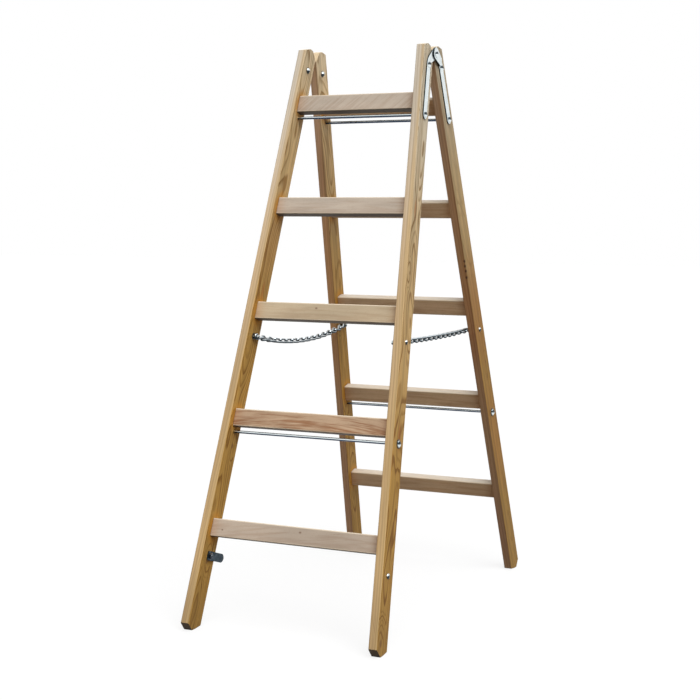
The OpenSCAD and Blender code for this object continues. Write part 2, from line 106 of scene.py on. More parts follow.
LINK_PLAY = 0.4 * MM
GUIDE_DROP = 1427 * MM
GUIDE_WIDTH = 24 * MM
GUIDE_THICKNESS = 3 * MM
GUIDE_REACH = 40 * MM
GUIDE_HEEL = 9 * MM
GUIDE_CORNER = 1 * MM
# Round heads and caps: radius and height
RIVET_HEAD = (9 * MM, 4 * MM)
BOLT_HEAD = (7.5 * MM, 4 * MM)
CHAIN_BOLT_HEAD = (6.5 * MM, 4 * MM)
CAP = (9 * MM, 5 * MM)

# The drawn links: their wire is stouter than the solids', as the picture shows it
WIRE_RADIUS = 3.0 * MM
BOW_RADIUS = 6.0 * MM
END_ROLL = math.radians(45)
ROLL_STEP = math.radians(15)
# How far from the ladder's middle a chain half's bend starts
CHAIN_BENDS = {LEFT: 900 * MM, RIGHT: 1400 * MM}

# Fineness of the turned and swept shapes, and how their seams and edges are finished
ROUND_STEPS = 48
CURVE_STEPS = 12
BOW_STEPS = 14
STRAND_STEPS = 13
MERGE_DISTANCE = 0.001 * MM
CLOSING_STEP = 0.01 * MM
SHARP_ANGLE = math.radians(38)
BAR_BEVEL = 1 / 8
WASHER_ROUNDNESS = 0.35
STRAP_ROUNDNESS = 0.4
# A nut's trimmed corners: share of its height and steps, share of its width left flat, slope of the cone
NUT_TRIM = 0.15
NUT_TRIM_STEPS = 6
NUT_FLAT = 0.47
NUT_CONE = math.tan(math.radians(60))

# The camera that took the picture, found from the ladder's own edges
IMAGE_WIDTH = 700
FOCAL_PIXELS = 1422.2
SENSOR_WIDTH = 36.0
CAMERA_PLACE = Vector((1.6545, -3.6953, 1.0531))
CAMERA_YAW = math.radians(24.813)
CAMERA_PITCH = math.radians(4.807)
CAMERA_ROLL = math.radians(0.457)


def stile_centre(drop):
    """Distance from the centre line to a stile's centre, at a drop below the hinge axis."""
    return TOP_HALF_WIDTH + drop * math.tan(SPLAY)


def outer_face(drop):
    """Distance from the centre line to a stile's outer face, at a drop below the hinge axis."""
    return stile_centre(drop) + STILE_THICKNESS / 2 / math.cos(SPLAY)


def rung_drop(number):
    """Drop of a rung's middle below the hinge axis, along its section."""
    return FIRST_RUNG + (number - 1) * RUNG_PITCH


def rod_drop(number):
    """Drop of the tie rod under a rung."""
    return rung_drop(number) + RUNG_HEIGHT / 2 + ROD_GAP


def stacked(*coordinates):
    """Coordinates of any matching shapes as one array of points."""
    return np.stack(np.broadcast_arrays(*coordinates), axis=-1)


def on_section(points, side, hand):
    """Points of a flat right-hand section, X across, Y outward and Z up, carried to their place.

    Mirrored for the left hand and for the front, leant about the hinge axis and lifted to its height.
    """
    across, depth, up = np.moveaxis(points, -1, 0)
    outward = depth * math.cos(LEAN) - up * math.sin(LEAN)
    height = depth * math.sin(LEAN) + up * math.cos(LEAN) + HINGE_HEIGHT
    return stacked(hand * across, side * outward, height)


def on_face(points, drop, face, lift=0.0, depth=STILE_MID):
    """A shape that points along X, set on a stile's outer or inner face and turned by the splay."""
    x, y, z = np.moveaxis(points, -1, 0)
    out = face * (x + lift + STILE_THICKNESS / 2)
    along = z - drop / math.cos(SPLAY)
    across = TOP_HALF_WIDTH + out * math.cos(SPLAY) - along * math.sin(SPLAY)
    return stacked(across, y + depth, out * math.sin(SPLAY) + along * math.cos(SPLAY))


def both_hands(grids, side):
    """The same right-hand grids on both hands of a section."""
    return [on_section(grid, side, hand) for hand in (LEFT, RIGHT) for grid in grids]


def grid_faces(rows, columns):
    """Corner numbers of the four-sided faces between the points of a grid."""
    first = np.arange(rows - 1)[:, None] * columns + np.arange(columns - 1)[None, :]
    return stacked(first, first + 1, first + columns + 1, first + columns).reshape(-1, 4)


def outward_faces(points, faces):
    """The faces turned so that the volume they enclose is positive."""
    a, b, c, d = (points[faces[:, corner]] for corner in range(4))
    volume = np.sum(a * np.cross(b, c)) + np.sum(a * np.cross(c, d))
    return faces if volume > 0 else faces[:, ::-1]


def add_piece(node_name, grids, material, bend=None):
    """One mesh that stands for a CAD node, made of grids that close on themselves.

    A grid's seams and poles are points that coincide, and they are merged. The piece rides its node's
    body; where bend is given, it rides no body and keeps its points where they stand, and the sections,
    bodies and points in bend are not used.
    """
    points, faces, count = [], [], 0
    for grid in grids:
        flat = grid.reshape(-1, 3)
        corners = grid_faces(*grid.shape[:2])
        faces.append(outward_faces(flat - flat.mean(axis=0), corners) + count)
        points.append(flat)
        count += len(flat)
    mesh = bpy.data.meshes.new(node_name + "_piece")
    mesh.from_pydata(np.concatenate(points).tolist(), [], np.concatenate(faces).tolist())
    merged = bmesh.new()
    merged.from_mesh(mesh)
    bmesh.ops.remove_doubles(merged, verts=merged.verts, dist=MERGE_DISTANCE)
    bmesh.ops.dissolve_degenerate(merged, edges=merged.edges, dist=MERGE_DISTANCE)
    merged.to_mesh(mesh)
    merged.free()
    mesh.shade_smooth()
    mesh.set_sharp_from_angle(angle=SHARP_ANGLE)
    mesh.materials.append(material)
    piece = bpy.data.objects.new(node_name + "_piece", mesh)
    bpy.context.scene.collection.objects.link(piece)
    if bend:
        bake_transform(piece)
    else:
        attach(piece, NODE_BODIES[node_name])
    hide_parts(node_name)


def full_circle(steps=ROUND_STEPS):
    """Angles at even steps round a full circle, the last on the first."""
    return np.linspace(0, 2 * np.pi, steps + 1)


def quarter_circle():
    """Angles at even steps over a quarter circle."""
    return np.linspace(0, np.pi / 2, CURVE_STEPS + 1)


def rounded_oblong(roundness):
    """Sideways and upward shares round an oblong: cosine and sine, each raised to a small power."""
    angle = full_circle(4 * CURVE_STEPS)
    wave = np.stack([np.cos(angle), np.sin(angle)])
    return np.sign(wave) * np.abs(wave) ** roundness


def turned(outline):
    """A shape turned about X: each height and radius of the outline carried round a full circle."""
    height, radius = np.array(outline).T[:, :, None]
    angle = full_circle()
    return stacked(height, radius * np.cos(angle), radius * np.sin(angle))


def rod(start, end, radius):
    """A round bar along X with small bevels at its ends."""
    bevel = BAR_BEVEL * radius
    outline = [(start, 0), (start, radius - bevel), (start + bevel, radius),
               (end - bevel, radius), (end, radius - bevel), (end, 0)]
    return turned(outline)


def dome(radius, height, seat=0.0):
    """Outline of a round cap: height times the sine of an angle against radius times its cosine."""
    angle = quarter_circle()
    return np.stack([seat + height * np.sin(angle), radius * np.cos(angle)], axis=-1)


def mushroom_head(radius, height):
    """A half-ellipse cap on a flat seat."""
    return turned(np.concatenate([[(0, 0)], dome(radius, height)]))


def washer(outer_radius, inner_radius):
    """A flat ring whose section is a rounded oblong."""
    aside, rise = rounded_oblong(WASHER_ROUNDNESS)
    middle = (outer_radius + inner_radius) / 2
    half_width = (outer_radius - inner_radius) / 2
    return turned(np.stack([WASHER_THICKNESS / 2 * (1 + rise), middle + half_width * aside], axis=-1))


def hex_nut(width, height):
    """A six-sided nut: at each angle and level the smaller of the hexagon's radius and two cones'.

    The cones trim the corners at both ends, so each flat ends in a curved edge.
    """
    angle = full_circle()
    from_flat = (angle + np.pi / 6) % (np.pi / 3) - np.pi / 6
    hexagon = width / 2 / np.cos(from_flat)
    ends = np.linspace(0, NUT_TRIM, NUT_TRIM_STEPS + 1)
    level = height * np.concatenate([ends, 1 - ends[::-1]])
    cone = NUT_FLAT * width + np.minimum(level, height - level) * NUT_CONE
    radius = np.minimum(hexagon[None, :], cone[:, None])
    radius = np.pad(radius, ((1, 1), (0, 0)))
    level = np.pad(level, 1, mode="edge")[:, None]
    return stacked(level, radius * np.cos(angle), radius * np.sin(angle))


def coach_bolt(head, shank_radius, length):
    """A mushroom head at X = 0 and a shank behind it, which starts inside the head."""
    return [mushroom_head(*head), rod(-length, head[1] / 2, shank_radius)]


def strap(centres, half_widths, base, thickness):
    """A flat bar carried along a path in the section: a rounded oblong set square to the path.

    The oblong's width follows half_widths and its underside follows base, measured across the ladder.
    """
    heading = np.gradient(centres, axis=0)
    heading /= np.linalg.norm(heading, axis=1, keepdims=True)
    aside = np.stack([-heading[:, 1], heading[:, 0]], axis=-1)
    swing, rise = rounded_oblong(STRAP_ROUNDNESS)
    reach = half_widths[:, None] * swing
    depth = centres[:, :1] + aside[:, :1] * reach
    up = centres[:, 1:] + aside[:, 1:] * reach
    return stacked(base[:, None] + thickness / 2 * (1 + rise), depth, up)


def line(start, end):
    """Points at even steps from start to end."""
    share = np.linspace(0, 1, CURVE_STEPS + 1)[:, None]
    return (1 - share) * np.array(start) + share * np.array(end)


def leaf_path():
    """Centre line and half width of a hinge leaf: round head, arm, curved shoulder, strap and round end.

    The shoulder is a parabola between the arm and the strap, drawn towards their meeting point.
    """
    head = np.array((0, EYE_RISE))
    shoulder = np.array((STILE_MID, -SHOULDER_DROP))
    foot = np.array((STILE_MID, -rod_drop(ROD_RUNGS["top"])))
    slope = (shoulder - head) / np.linalg.norm(shoulder - head)
    half = LEAF_WIDTH / 2
    cap = quarter_circle()
    bend_start = shoulder - slope * half
    bend_end = shoulder - np.array((0, half))
    share = np.linspace(0, 1, CURVE_STEPS + 1)[1:, None]
    bend = (1 - share) ** 2 * bend_start + 2 * share * (1 - share) * shoulder + share ** 2 * bend_end
    parts = [
        (head - slope * EYE_RADIUS * np.cos(cap)[:, None], EYE_RADIUS * np.sin(cap)),
        (line(head, bend_start)[1:], np.linspace(EYE_RADIUS, half, CURVE_STEPS + 1)[1:]),
        (bend, np.full(CURVE_STEPS, half)),
        (line(bend_end, foot)[1:], np.full(CURVE_STEPS, half)),
        (foot - np.array((0, half)) * np.sin(cap)[1:, None], half * np.cos(cap)[1:]),
    ]
    centres, half_widths = (np.concatenate(run) for run in zip(*parts))
    return centres, half_widths


def leaf_heads():
    """Inner faces of the front and rear leaves' heads, measured across the ladder."""
    front = outer_face(LEAF_BEND_DROP)
    return {FRONT: front, REAR: front + LEAF_THICKNESS / math.cos(SPLAY) + SLIDING_GAP}


def hinge_leaf(side):
    """A leaf flat at its head, stepped in towards the stile, and along the stile from there down."""
    centres, half_widths = leaf_path()
    strap_start = LEAF_BEND_DROP + LEAF_BEND_LENGTHS[side]
    lowest = rod_drop(ROD_RUNGS["top"]) + LEAF_WIDTH
    drops = (LEAF_BEND_DROP, strap_start, lowest)
    faces = (leaf_heads()[side], outer_face(strap_start), outer_face(lowest))
    base = np.interp(-centres[:, 1], drops, faces)
    return strap(centres, half_widths, base, LEAF_THICKNESS / math.cos(SPLAY))


def hinge_rivet():
    """The hinge pin, widened at its inner end, and its round head."""
    inner = leaf_heads()[FRONT]
    seat = leaf_heads()[REAR] + LEAF_THICKNESS / math.cos(SPLAY) + SLIDING_GAP
    countersink = LEAF_THICKNESS / 2
    pin = [(inner, 0), (inner, RIVET_RADIUS + countersink),
           (inner + countersink, RIVET_RADIUS), (seat, RIVET_RADIUS)]
    return turned(np.concatenate([pin, dome(*RIVET_HEAD, seat)]))


def guide_plate():
    """A flat plate with a round end inward and a square end, its corners eased, past its bolt."""
    half = GUIDE_WIDTH / 2
    cap = quarter_circle()
    round_centre = half - GUIDE_REACH
    heel = STILE_MID + GUIDE_HEEL
    corner_start = heel - GUIDE_CORNER
    parts = [
        (round_centre - half * np.cos(cap), half * np.sin(cap)),
        (np.linspace(round_centre, corner_start, CURVE_STEPS)[1:], np.full(CURVE_STEPS - 1, half)),
        (corner_start + GUIDE_CORNER * np.sin(cap)[1:],
         half - GUIDE_CORNER + GUIDE_CORNER * np.cos(cap)[1:]),
        ([heel + CLOSING_STEP], [0]),
    ]
    depth, half_widths = (np.concatenate(run) for run in zip(*parts))
    centres = np.stack([depth, np.zeros_like(depth)], axis=-1)
    return strap(centres, half_widths, np.zeros_like(depth), GUIDE_THICKNESS)


def wire_link(bow_distance):
    """A twisted link along Y: a round wire carried along a long loop that is skewed as it goes.

    The loop is two half circles and two straights. Its sideways distance is shared between X and Z:
    the X share swings from minus to plus with the sine of the way along and the Z share stays, so
    the two bows stand a quarter turn apart and the strands cross close to the middle.
    """
    half_turn = np.linspace(-np.pi / 2, np.pi / 2, BOW_STEPS + 1)
    straight = np.linspace(bow_distance, -bow_distance, STRAND_STEPS + 1)[1:-1]
    along = np.concatenate([bow_distance + BOW_RADIUS * np.cos(half_turn), straight,
                            -bow_distance - BOW_RADIUS * np.cos(half_turn), -straight])
    aside = np.concatenate([BOW_RADIUS * np.sin(half_turn), np.full(straight.shape, BOW_RADIUS),
                            -BOW_RADIUS * np.sin(half_turn), np.full(straight.shape, -BOW_RADIUS)])
    swing = np.sin(np.pi / 2 * np.clip(along / bow_distance, -1, 1))
    centre = stacked(aside * swing, along * math.sqrt(2), aside) / math.sqrt(2)
    heading = np.roll(centre, -1, axis=0) - np.roll(centre, 1, axis=0)
    heading /= np.linalg.norm(heading, axis=1, keepdims=True)
    square = stacked(np.ones_like(swing), np.zeros_like(swing), -swing)
    square -= heading * np.sum(heading * square, axis=1, keepdims=True)
    square /= np.linalg.norm(square, axis=1, keepdims=True)
    third = np.cross(heading, square)
    angle = full_circle(CURVE_STEPS)[None, :, None]
    ring = np.cos(angle) * square[:, None] + np.sin(angle) * third[:, None]
    tube = centre[:, None] + WIRE_RADIUS * ring
    return np.concatenate([tube, tube[:1]])


def link_roll(index):
    """Roll of a link about its chain: the end links stand square to their bolts, the next ones ease off."""
    from_rear = LINK_COUNT - 1 - index
    return max(0, END_ROLL - index * ROLL_STEP) - max(0, END_ROLL - from_rear * ROLL_STEP)


def chain_half(hand, side):
    """The links of half a chain, rolled about the chain and set along the arc in which it hangs.

    The arc runs through the outer ends of the end links, which hang on the bolts, and through the sag
    between them. Each link is a chord of it.
    """
    sag = CHAIN_SAGS[hand]
    outset = STILE_THICKNESS / 2 + CHAIN_STANDOFF
    drop = CHAIN_DROP + outset * math.sin(SPLAY)
    reach = drop * math.sin(LEAN) + STILE_MID * math.cos(LEAN)
    level = HINGE_HEIGHT - drop * math.cos(LEAN) + STILE_MID * math.sin(LEAN)
    offset = stile_centre(CHAIN_DROP) - outset * math.cos(SPLAY)
    joint_reach = reach + CHAIN_BOLT_RADIUS + CHAIN_BOLT_PLAY - LINK_PLAY / 2
    arc_radius = (joint_reach ** 2 + sag ** 2) / (2 * sag)
    link_angle = 2 * math.asin(joint_reach / arc_radius) / LINK_COUNT
    end_lift = (joint_reach - reach) * math.sin((LINK_COUNT - 1) / 2 * link_angle)
    arc_centre = level + end_lift - sag + arc_radius
    pitch = 2 * arc_radius * math.sin(link_angle / 2)
    x, y, z = np.moveaxis(wire_link((pitch + LINK_PLAY) / 2 + WIRE_RADIUS - BOW_RADIUS), -1, 0)
    link_reach = arc_radius * math.cos(link_angle / 2)
    first = 0 if side == FRONT else LINK_COUNT // 2
    links = []
    for index in range(first, first + LINK_COUNT // 2):
        roll = link_roll(index)
        place = (index + 0.5 - LINK_COUNT / 2) * link_angle
        across = x * math.cos(roll) + z * math.sin(roll)
        up = z * math.cos(roll) - x * math.sin(roll)
        along = y * math.cos(place) - (up - link_reach) * math.sin(place)
        height = y * math.sin(place) + (up - link_reach) * math.cos(place)
        links.append(stacked(hand * (across + offset), along, height + arc_centre))
    return links


def add_rods_and_nuts(side, finishes):
    """A section's two tie rods, their caps, and the low rod's washers."""
    name = SIDE_NAMES[side]
    nuts = []
    for place, number in ROD_RUNGS.items():
        seat = LEAF_THICKNESS if place == "top" else WASHER_THICKNESS
        half_length = outer_face(rod_drop(number)) + seat + CAP_GRIP
        bar = rod(-half_length, half_length, ROD_RADIUS) + np.array((0, STILE_MID, -rod_drop(number)))
        add_piece(f"{name}_{place}_tie_rod", [on_section(bar, side, RIGHT)], finishes["rod"])
        drop = rod_drop(number) + (STILE_THICKNESS / 2 + seat + CAP_GRIP / 2) * math.sin(SPLAY)
        nuts.append(on_face(mushroom_head(*CAP), drop, OUTER_FACE, seat))
    add_piece(f"{name}_tie_rod_nuts", both_hands(nuts, side), finishes["cap"])
    drop = rod_drop(ROD_RUNGS["low"]) + (STILE_THICKNESS + WASHER_THICKNESS) / 2 * math.sin(SPLAY)
    ring = on_face(washer(ROD_WASHER_RADIUS, ROD_RADIUS), drop, OUTER_FACE)
    add_piece(f"{name}_tie_rod_washers", both_hands([ring], side), finishes["washer"])


def add_hinge(side, finishes):
    """A section's two hinge leaves, and the bolts, washers and caps that hold them."""
    name = SIDE_NAMES[side]
    for hand in (LEFT, RIGHT):
        leaf = on_section(hinge_leaf(side), side, hand)
        add_piece(f"{name}_{HAND_NAMES[hand]}_hinge_leaf", [leaf], finishes["strap"])
    length = WASHER_THICKNESS + STILE_THICKNESS + LEAF_THICKNESS + CAP_GRIP
    bolt = [on_face(grid, HINGE_BOLT_DROP, INNER_FACE, WASHER_THICKNESS)
            for grid in coach_bolt(BOLT_HEAD, BOLT_RADIUS, length)]
    add_piece(f"{name}_hinge_bolts", both_hands(bolt, side), finishes["bolt"])
    nut = on_face(mushroom_head(*CAP), HINGE_BOLT_DROP, OUTER_FACE, LEAF_THICKNESS)
    add_piece(f"{name}_hinge_nuts", both_hands([nut], side), finishes["cap"])
    ring = on_face(washer(WASHER_RADIUS, BOLT_RADIUS), HINGE_BOLT_DROP, INNER_FACE)
    add_piece(f"{name}_hinge_washers", both_hands([ring], side), finishes["washer"])


def add_chain(side, finishes):
    """A section's chain bolts with their nuts and washers, and its halves of both chains."""
    name = SIDE_NAMES[side]
    nut_gap = CHAIN_STANDOFF - WASHER_THICKNESS - CHAIN_NUT_HEIGHT
    seats = (WASHER_THICKNESS, CHAIN_STANDOFF + nut_gap)
    length = STILE_THICKNESS + seats[1] + CHAIN_NUT_HEIGHT + BOLT_TAIL
    bolt = [on_face(grid, CHAIN_DROP, OUTER_FACE)
            for grid in coach_bolt(CHAIN_BOLT_HEAD, CHAIN_BOLT_RADIUS, length)]
    add_piece(f"{name}_chain_bolts", both_hands(bolt, side), finishes["stud"])
    nut = hex_nut(CHAIN_NUT_WIDTH, CHAIN_NUT_HEIGHT)
    nuts = [on_face(nut, CHAIN_DROP, INNER_FACE, seat) for seat in seats]
    add_piece(f"{name}_chain_nuts", both_hands(nuts, side), finishes["bolt"])
    ring = on_face(washer(WASHER_RADIUS, CHAIN_BOLT_RADIUS), CHAIN_DROP, INNER_FACE)
    add_piece(f"{name}_chain_washers", both_hands([ring], side), finishes["washer"])
    for hand in (LEFT, RIGHT):
        node_name = f"{HAND_NAMES[hand]}_chain_{name}_half"
        bend = (f"{name}_section", NODE_BODIES[node_name], (0, side * CHAIN_BENDS[hand], 0), (0, 0, 0))
        add_piece(node_name, chain_half(hand, side), finishes["chain"], bend)


def add_guides(finishes):
    """The guide plates near the front feet, and the bolts, nuts and spacers that hold them."""
    plate = on_face(guide_plate(), GUIDE_DROP, INNER_FACE, WASHER_THICKNESS, 0)
    for hand in (LEFT, RIGHT):
        placed = on_section(plate, FRONT, hand)
        add_piece(f"{HAND_NAMES[hand]}_guide_plate", [placed], finishes["guide"])
    nut_seat = WASHER_THICKNESS + GUIDE_THICKNESS
    length = STILE_THICKNESS + nut_seat + NUT_HEIGHT + BOLT_TAIL
    bolt = [on_face(grid, GUIDE_DROP, OUTER_FACE) for grid in coach_bolt(BOLT_HEAD, BOLT_RADIUS, length)]
    add_piece("guide_bolts", both_hands(bolt, FRONT), finishes["stud"])
    nut = on_face(hex_nut(NUT_WIDTH, NUT_HEIGHT), GUIDE_DROP, INNER_FACE, nut_seat)
    add_piece("guide_nuts", both_hands([nut], FRONT), finishes["nut"])
    ring = on_face(washer(WASHER_RADIUS, BOLT_RADIUS), GUIDE_DROP, INNER_FACE)
    add_piece("guide_spacers", both_hands([ring], FRONT), finishes["washer"])


def add_metalwork(finishes):
    """Each section's rods, hinge leaves and chains, the rivets that join the sections, and the guides."""
    for side in (FRONT, REAR):
        add_rods_and_nuts(side, finishes)
        add_hinge(side, finishes)
        add_chain(side, finishes)
    add_piece("hinge_rivets", both_hands([hinge_rivet()], FRONT), finishes["rivet"])
    add_guides(finishes)


def section_frame(side):
    """A section's own frame: hinge axis as origin, X across, Z up along the section."""
    return Matrix.Translation((0, 0, HINGE_HEIGHT)) @ Matrix.Rotation(side * LEAN, 4, "X")


def stile_frame(side, hand):
    """A stile's own frame: its centre at the hinge axis as origin, Z up along the stile."""
    across = Matrix.Translation((hand * TOP_HALF_WIDTH, side * STILE_MID, 0))
    return section_frame(side) @ across @ Matrix.Rotation(-hand * SPLAY, 4, "Y")


def rung_frame(side, number):
    """A rung's own frame: its middle as origin, X down its height, Y through it and Z along it."""
    middle = Matrix.Translation((0, side * STILE_MID, -rung_drop(number)))
    return section_frame(side) @ middle @ Matrix.Rotation(math.pi / 2, 4, "Y")


# Rays that measure how closely other faces stand round a point, for the painted shade in corners
HOLLOW_SAMPLES = 8


class Grain(NamedTuple):
    """A noise: its scales to the metre across, through and along a piece, its detail and its roughness."""
    scales: tuple
    detail: float = 2.0
    roughness: float = 0.5

    def finer(self, factor):
        """The same noise, finer by a factor."""
        return self._replace(scales=tuple(factor * scale for scale in self.scales))


class Graph:
    """The node tree of a material or a world, with short calls for the nodes that the finishes use."""

    def __init__(self, owner):
        owner.use_nodes = True
        self.owner = owner
        self.tree = owner.node_tree

    def put(self, socket, value):
        """Link a socket to a node's output, or set it to a plain value."""
        if isinstance(value, bpy.types.NodeSocket):
            self.tree.links.new(value, socket)
        else:
            socket.default_value = value

    def node(self, kind, inputs=(), **settings):
        """A new node of a kind, with its settings made and its inputs linked or set."""
        made = self.tree.nodes.new(kind)
        for key, value in settings.items():
            setattr(made, key, value)
        for key, value in dict(inputs).items():
            self.put(made.inputs[key], value)
        return made

    def math(self, operation, *values):
        inputs = dict(enumerate(values))
        return self.node("ShaderNodeMath", inputs, operation=operation).outputs[0]

    def total(self, *terms):
        """The sum of terms, each a socket or a pair of socket and weight."""
        result = 0.0
        for term in terms:
            value, weight = term if isinstance(term, tuple) else (term, 1.0)
            result = self.math("MULTIPLY_ADD", value, weight, result)
        return result

    def product(self, first, *others):
        for other in others:
            first = self.math("MULTIPLY", first, other)
        return first

    def local(self, place):
        """Object coordinates turned into the frame of a piece."""
        coordinates = self.node("ShaderNodeTexCoord").outputs["Object"]
        inputs = {"Vector": coordinates, "Location": place.translation, "Rotation": place.to_euler()}
        return self.node("ShaderNodeMapping", inputs, vector_type="TEXTURE").outputs[0]

    def facing(self, place):
        """The surface's direction in the frame of a piece, as X, Y and Z shares."""
        direction = self.node("ShaderNodeTexCoord").outputs["Normal"]
        inputs = {"Vector": direction, "Rotation": place.to_euler()}
        return self.split(self.node("ShaderNodeMapping", inputs, vector_type="TEXTURE").outputs[0])

    def split(self, vector):
        return self.node("ShaderNodeSeparateXYZ", {0: vector}).outputs

    def noise(self, point, grain, seed=(0, 0, 0)):
        """Noise drawn out by a grain, from a place of its own that the seed gives."""
        inputs = {"Vector": point, "Scale": grain.scales, "Location": seed}
        drawn = self.node("ShaderNodeMapping", inputs, vector_type="POINT").outputs[0]
        inputs = {"Vector": drawn, "Scale": 1.0, "Detail": grain.detail, "Roughness": grain.roughness}
        return self.node("ShaderNodeTexNoise", inputs).outputs["Fac"]

    def between(self, value, low, high, to_low=0.0, to_high=1.0):
        """A smooth step from to_low to to_high as the value goes from low to high."""
        inputs = {0: value, 1: low, 2: high, 3: to_low, 4: to_high}
        return self.node("ShaderNodeMapRange", inputs, interpolation_type="SMOOTHSTEP").outputs[0]

    def mix(self, share, first, second):
        """The first colour turned to the second by a share. Sockets 6 and 7 are the node's colours."""
        inputs = {0: share, 6: first, 7: second}
        return self.node("ShaderNodeMix", inputs, data_type="RGBA").outputs[2]

    def scaled(self, colour, factor):
        inputs = {0: colour, "Scale": factor}
        return self.node("ShaderNodeVectorMath", inputs, operation="SCALE").outputs[0]

    def tinted(self, colour, tint):
        return self.node("ShaderNodeVectorMath", {0: colour, 1: tint}, operation="MULTIPLY").outputs[0]

    def corner_shaded(self, colour, reach, openness, darkest):
        """A colour with painted shade where other faces stand within reach, between two shares of openness."""
        inputs = {"Distance": reach}
        hollow = self.node("ShaderNodeAmbientOcclusion", inputs, samples=HOLLOW_SAMPLES).outputs["AO"]
        return self.scaled(colour, self.between(hollow, *openness, darkest, 1.0))

    def bump(self, height, strength, distance):
        inputs = {"Height": height, "Strength": strength, "Distance": distance}
        return self.node("ShaderNodeBump", inputs).outputs[0]

    def finish(self, colour, roughness, normal, specular=0.5, metallic=0.0):
        """Set the surface of a material, and return the material."""
        shader = self.tree.nodes["Principled BSDF"]
        inputs = {"Base Color": colour, "Roughness": roughness, "Normal": normal,
                  "Specular IOR Level": specular, "Metallic": metallic}
        for key, value in inputs.items():
            self.put(shader.inputs[key], value)
        return self.owner


def opaque(red, green, blue):
    return (red, green, blue, 1.0)


def nearness(graph, values, centre, radii):
    """1 at a centre, falling smoothly to 0 at an elliptical distance round it."""
    squares = 0.0
    for value, middle, radius in zip(values, centre, radii):
        offset = graph.math("MULTIPLY_ADD", value, 1 / radius, -middle / radius)
        squares = graph.math("MULTIPLY_ADD", offset, offset, squares)
    return graph.between(squares, 0.0, 1.0, 1.0, 0.0)


# Low and high values of a noise between which a shade spreads: the closer, the starker
SOFT_SPREAD = (0.2, 0.8)
MIDDLE_SPREAD = (0.25, 0.75)
STARK_SPREAD = (0.3, 0.7)

# Grains of the pine
PINE_FLAME = Grain((4, 9, 3.4), 1.0)
PINE_STREAK = Grain((110, 75, 1.8), 3.0, 0.65)
PINE_CLOUD = Grain((16, 16, 2.4))
PINE_FIBRE = Grain((1500, 1500, 22), 2.0, 0.6)

# Growth rings: spacing, pith and its drift along the stile, the parts of a ring in which it darkens and
# pales, the strengths of single rings, and the waves that bend them, as a grain and a reach
RING_SPACING = 6.6 * MM
PITH = (55 * MM, 8 * MM)
PITH_DRIFT = (0.014, 0.006)
RING_RISE = (0.42, 0.85)
RING_FALL = (0.88, 1.0)
RING_STRENGTHS = (0.4, 1.0)
RING_WAVES = [
    (Grain((8, 8, 0.9)), 34 * MM),
    (Grain((30, 30, 3.5)), 10 * MM),
    (Grain((160, 160, 9)), 1.4 * MM),
]
FLAME_SWELL = 85 * MM
NARROW_FIGURE = 0.40
LATE_WOOD_TINT = (0.50, 0.40, 0.28)

# Knots, in their own sizes: reach through and along of the swell and of the core, and height of the swell
KNOT_SPREAD = (3, 9)
KNOT_CORE = (1, 1.4)
KNOT_SWELL = 2
KNOT_STRENGTH = 0.75
KNOT_BROWN = opaque(0.16, 0.075, 0.025)

# Colours of a stile's sapwood, heartwood and russet painted shade at its top, middle and foot, and the ways
# along the stile over which the foot's colour and the top's come in
SAPWOOD = (opaque(0.575, 0.505, 0.405), opaque(0.57, 0.415, 0.245), opaque(0.50, 0.345, 0.175))
HEARTWOOD = (opaque(0.66, 0.59, 0.45), opaque(0.545, 0.385, 0.185), opaque(0.435, 0.25, 0.062))
RUSSET_SHADE = (opaque(0.58, 0.36, 0.21), opaque(0.44, 0.20, 0.075), opaque(0.375, 0.22, 0.14))
TOWARDS_FOOT = (-0.60, -1.20)
TOWARDS_TOP = (-0.70, -0.05)

# The ochre strip along one arris of the narrow faces, and the painted shade along it on the russet-shaded stiles
OCHRE = opaque(0.52, 0.36, 0.16)
STRIP_EDGE = (4 * MM, 12 * MM)
STRIP_WAVE = 10 * MM
STRIP_SHARE = 0.55
RUSSET_SHADE_THIN = 0.6
ARRIS_EDGE = (5 * MM, 10 * MM)
ARRIS_SHADE = 0.70

# Amber patches of the wide faces: their colour, and how many times longer than deep they are
AMBER = opaque(0.42, 0.17, 0.045)
AMBER_STRETCH = 4

# Shades of the streaks and fibres, share of direction from which a face is wide, and gloss of the wood
NARROW_STREAKS = (0.88, 1.12)
WIDE_STREAKS = (0.74, 1.22)
FIBRE_SHADES = (0.91, 1.08)
WIDE_FACING = (0.55, 0.85)
LATE_WOOD_HEIGHT = 0.5
PINE_ROUGHNESS = (0.50, 0.66)
PINE_SPECULAR = 0.12
PINE_BUMP = (0.25, 0.4 * MM)
# Painted shade in the corners: reach, openness and darkest share
PINE_CORNER_SHADE = (10 * MM, (0.25, 0.8), 0.40)

# Painted shade towards the feet: where it comes in along the stile, its wave, and the share of colour that it
# leaves
FOOT_SHADE_EDGE = (-1.36, -1.54)
FOOT_SHADE_WAVE = 100 * MM
FOOT_SHADES = {FRONT: 0.78, REAR: 0.95}

# Stains round the rungs: reach through and along, the inner face across the stile, and the shares
JOINT_STAIN = opaque(0.50, 0.225, 0.03)
STAIN_REACH = (40 * MM, 55 * MM)
INNER_EDGE = (8 * MM, 12 * MM)
STAIN_SHARES = (0.75, 1.0)

# Dark pits of the inward narrow faces: reach across, through and along, share and colour
PIT_REACH = (4.5 * MM, 6 * MM, 6 * MM)
PIT_SHARE = 0.9
PIT_BROWN = opaque(0.05, 0.022, 0.012)

# Sawn ends: share of direction from which a face is cut, where the top and the soles start, and colours, the
# soles' a painted shade
CUT_FACING = (0.35, 0.55)
SOLE_FACING = (-0.35, -0.55)
TOP_END = (-0.1, 0.0)
SOLE_END = (-1.5, -1.58)
SAWN_PINE = opaque(0.60, 0.49, 0.32)
SAWN_SHARE = 0.8
SOLE_SHADE = opaque(0.035, 0.03, 0.025)
SOLE_SHADE_SHARES = (0.75, 0.98)


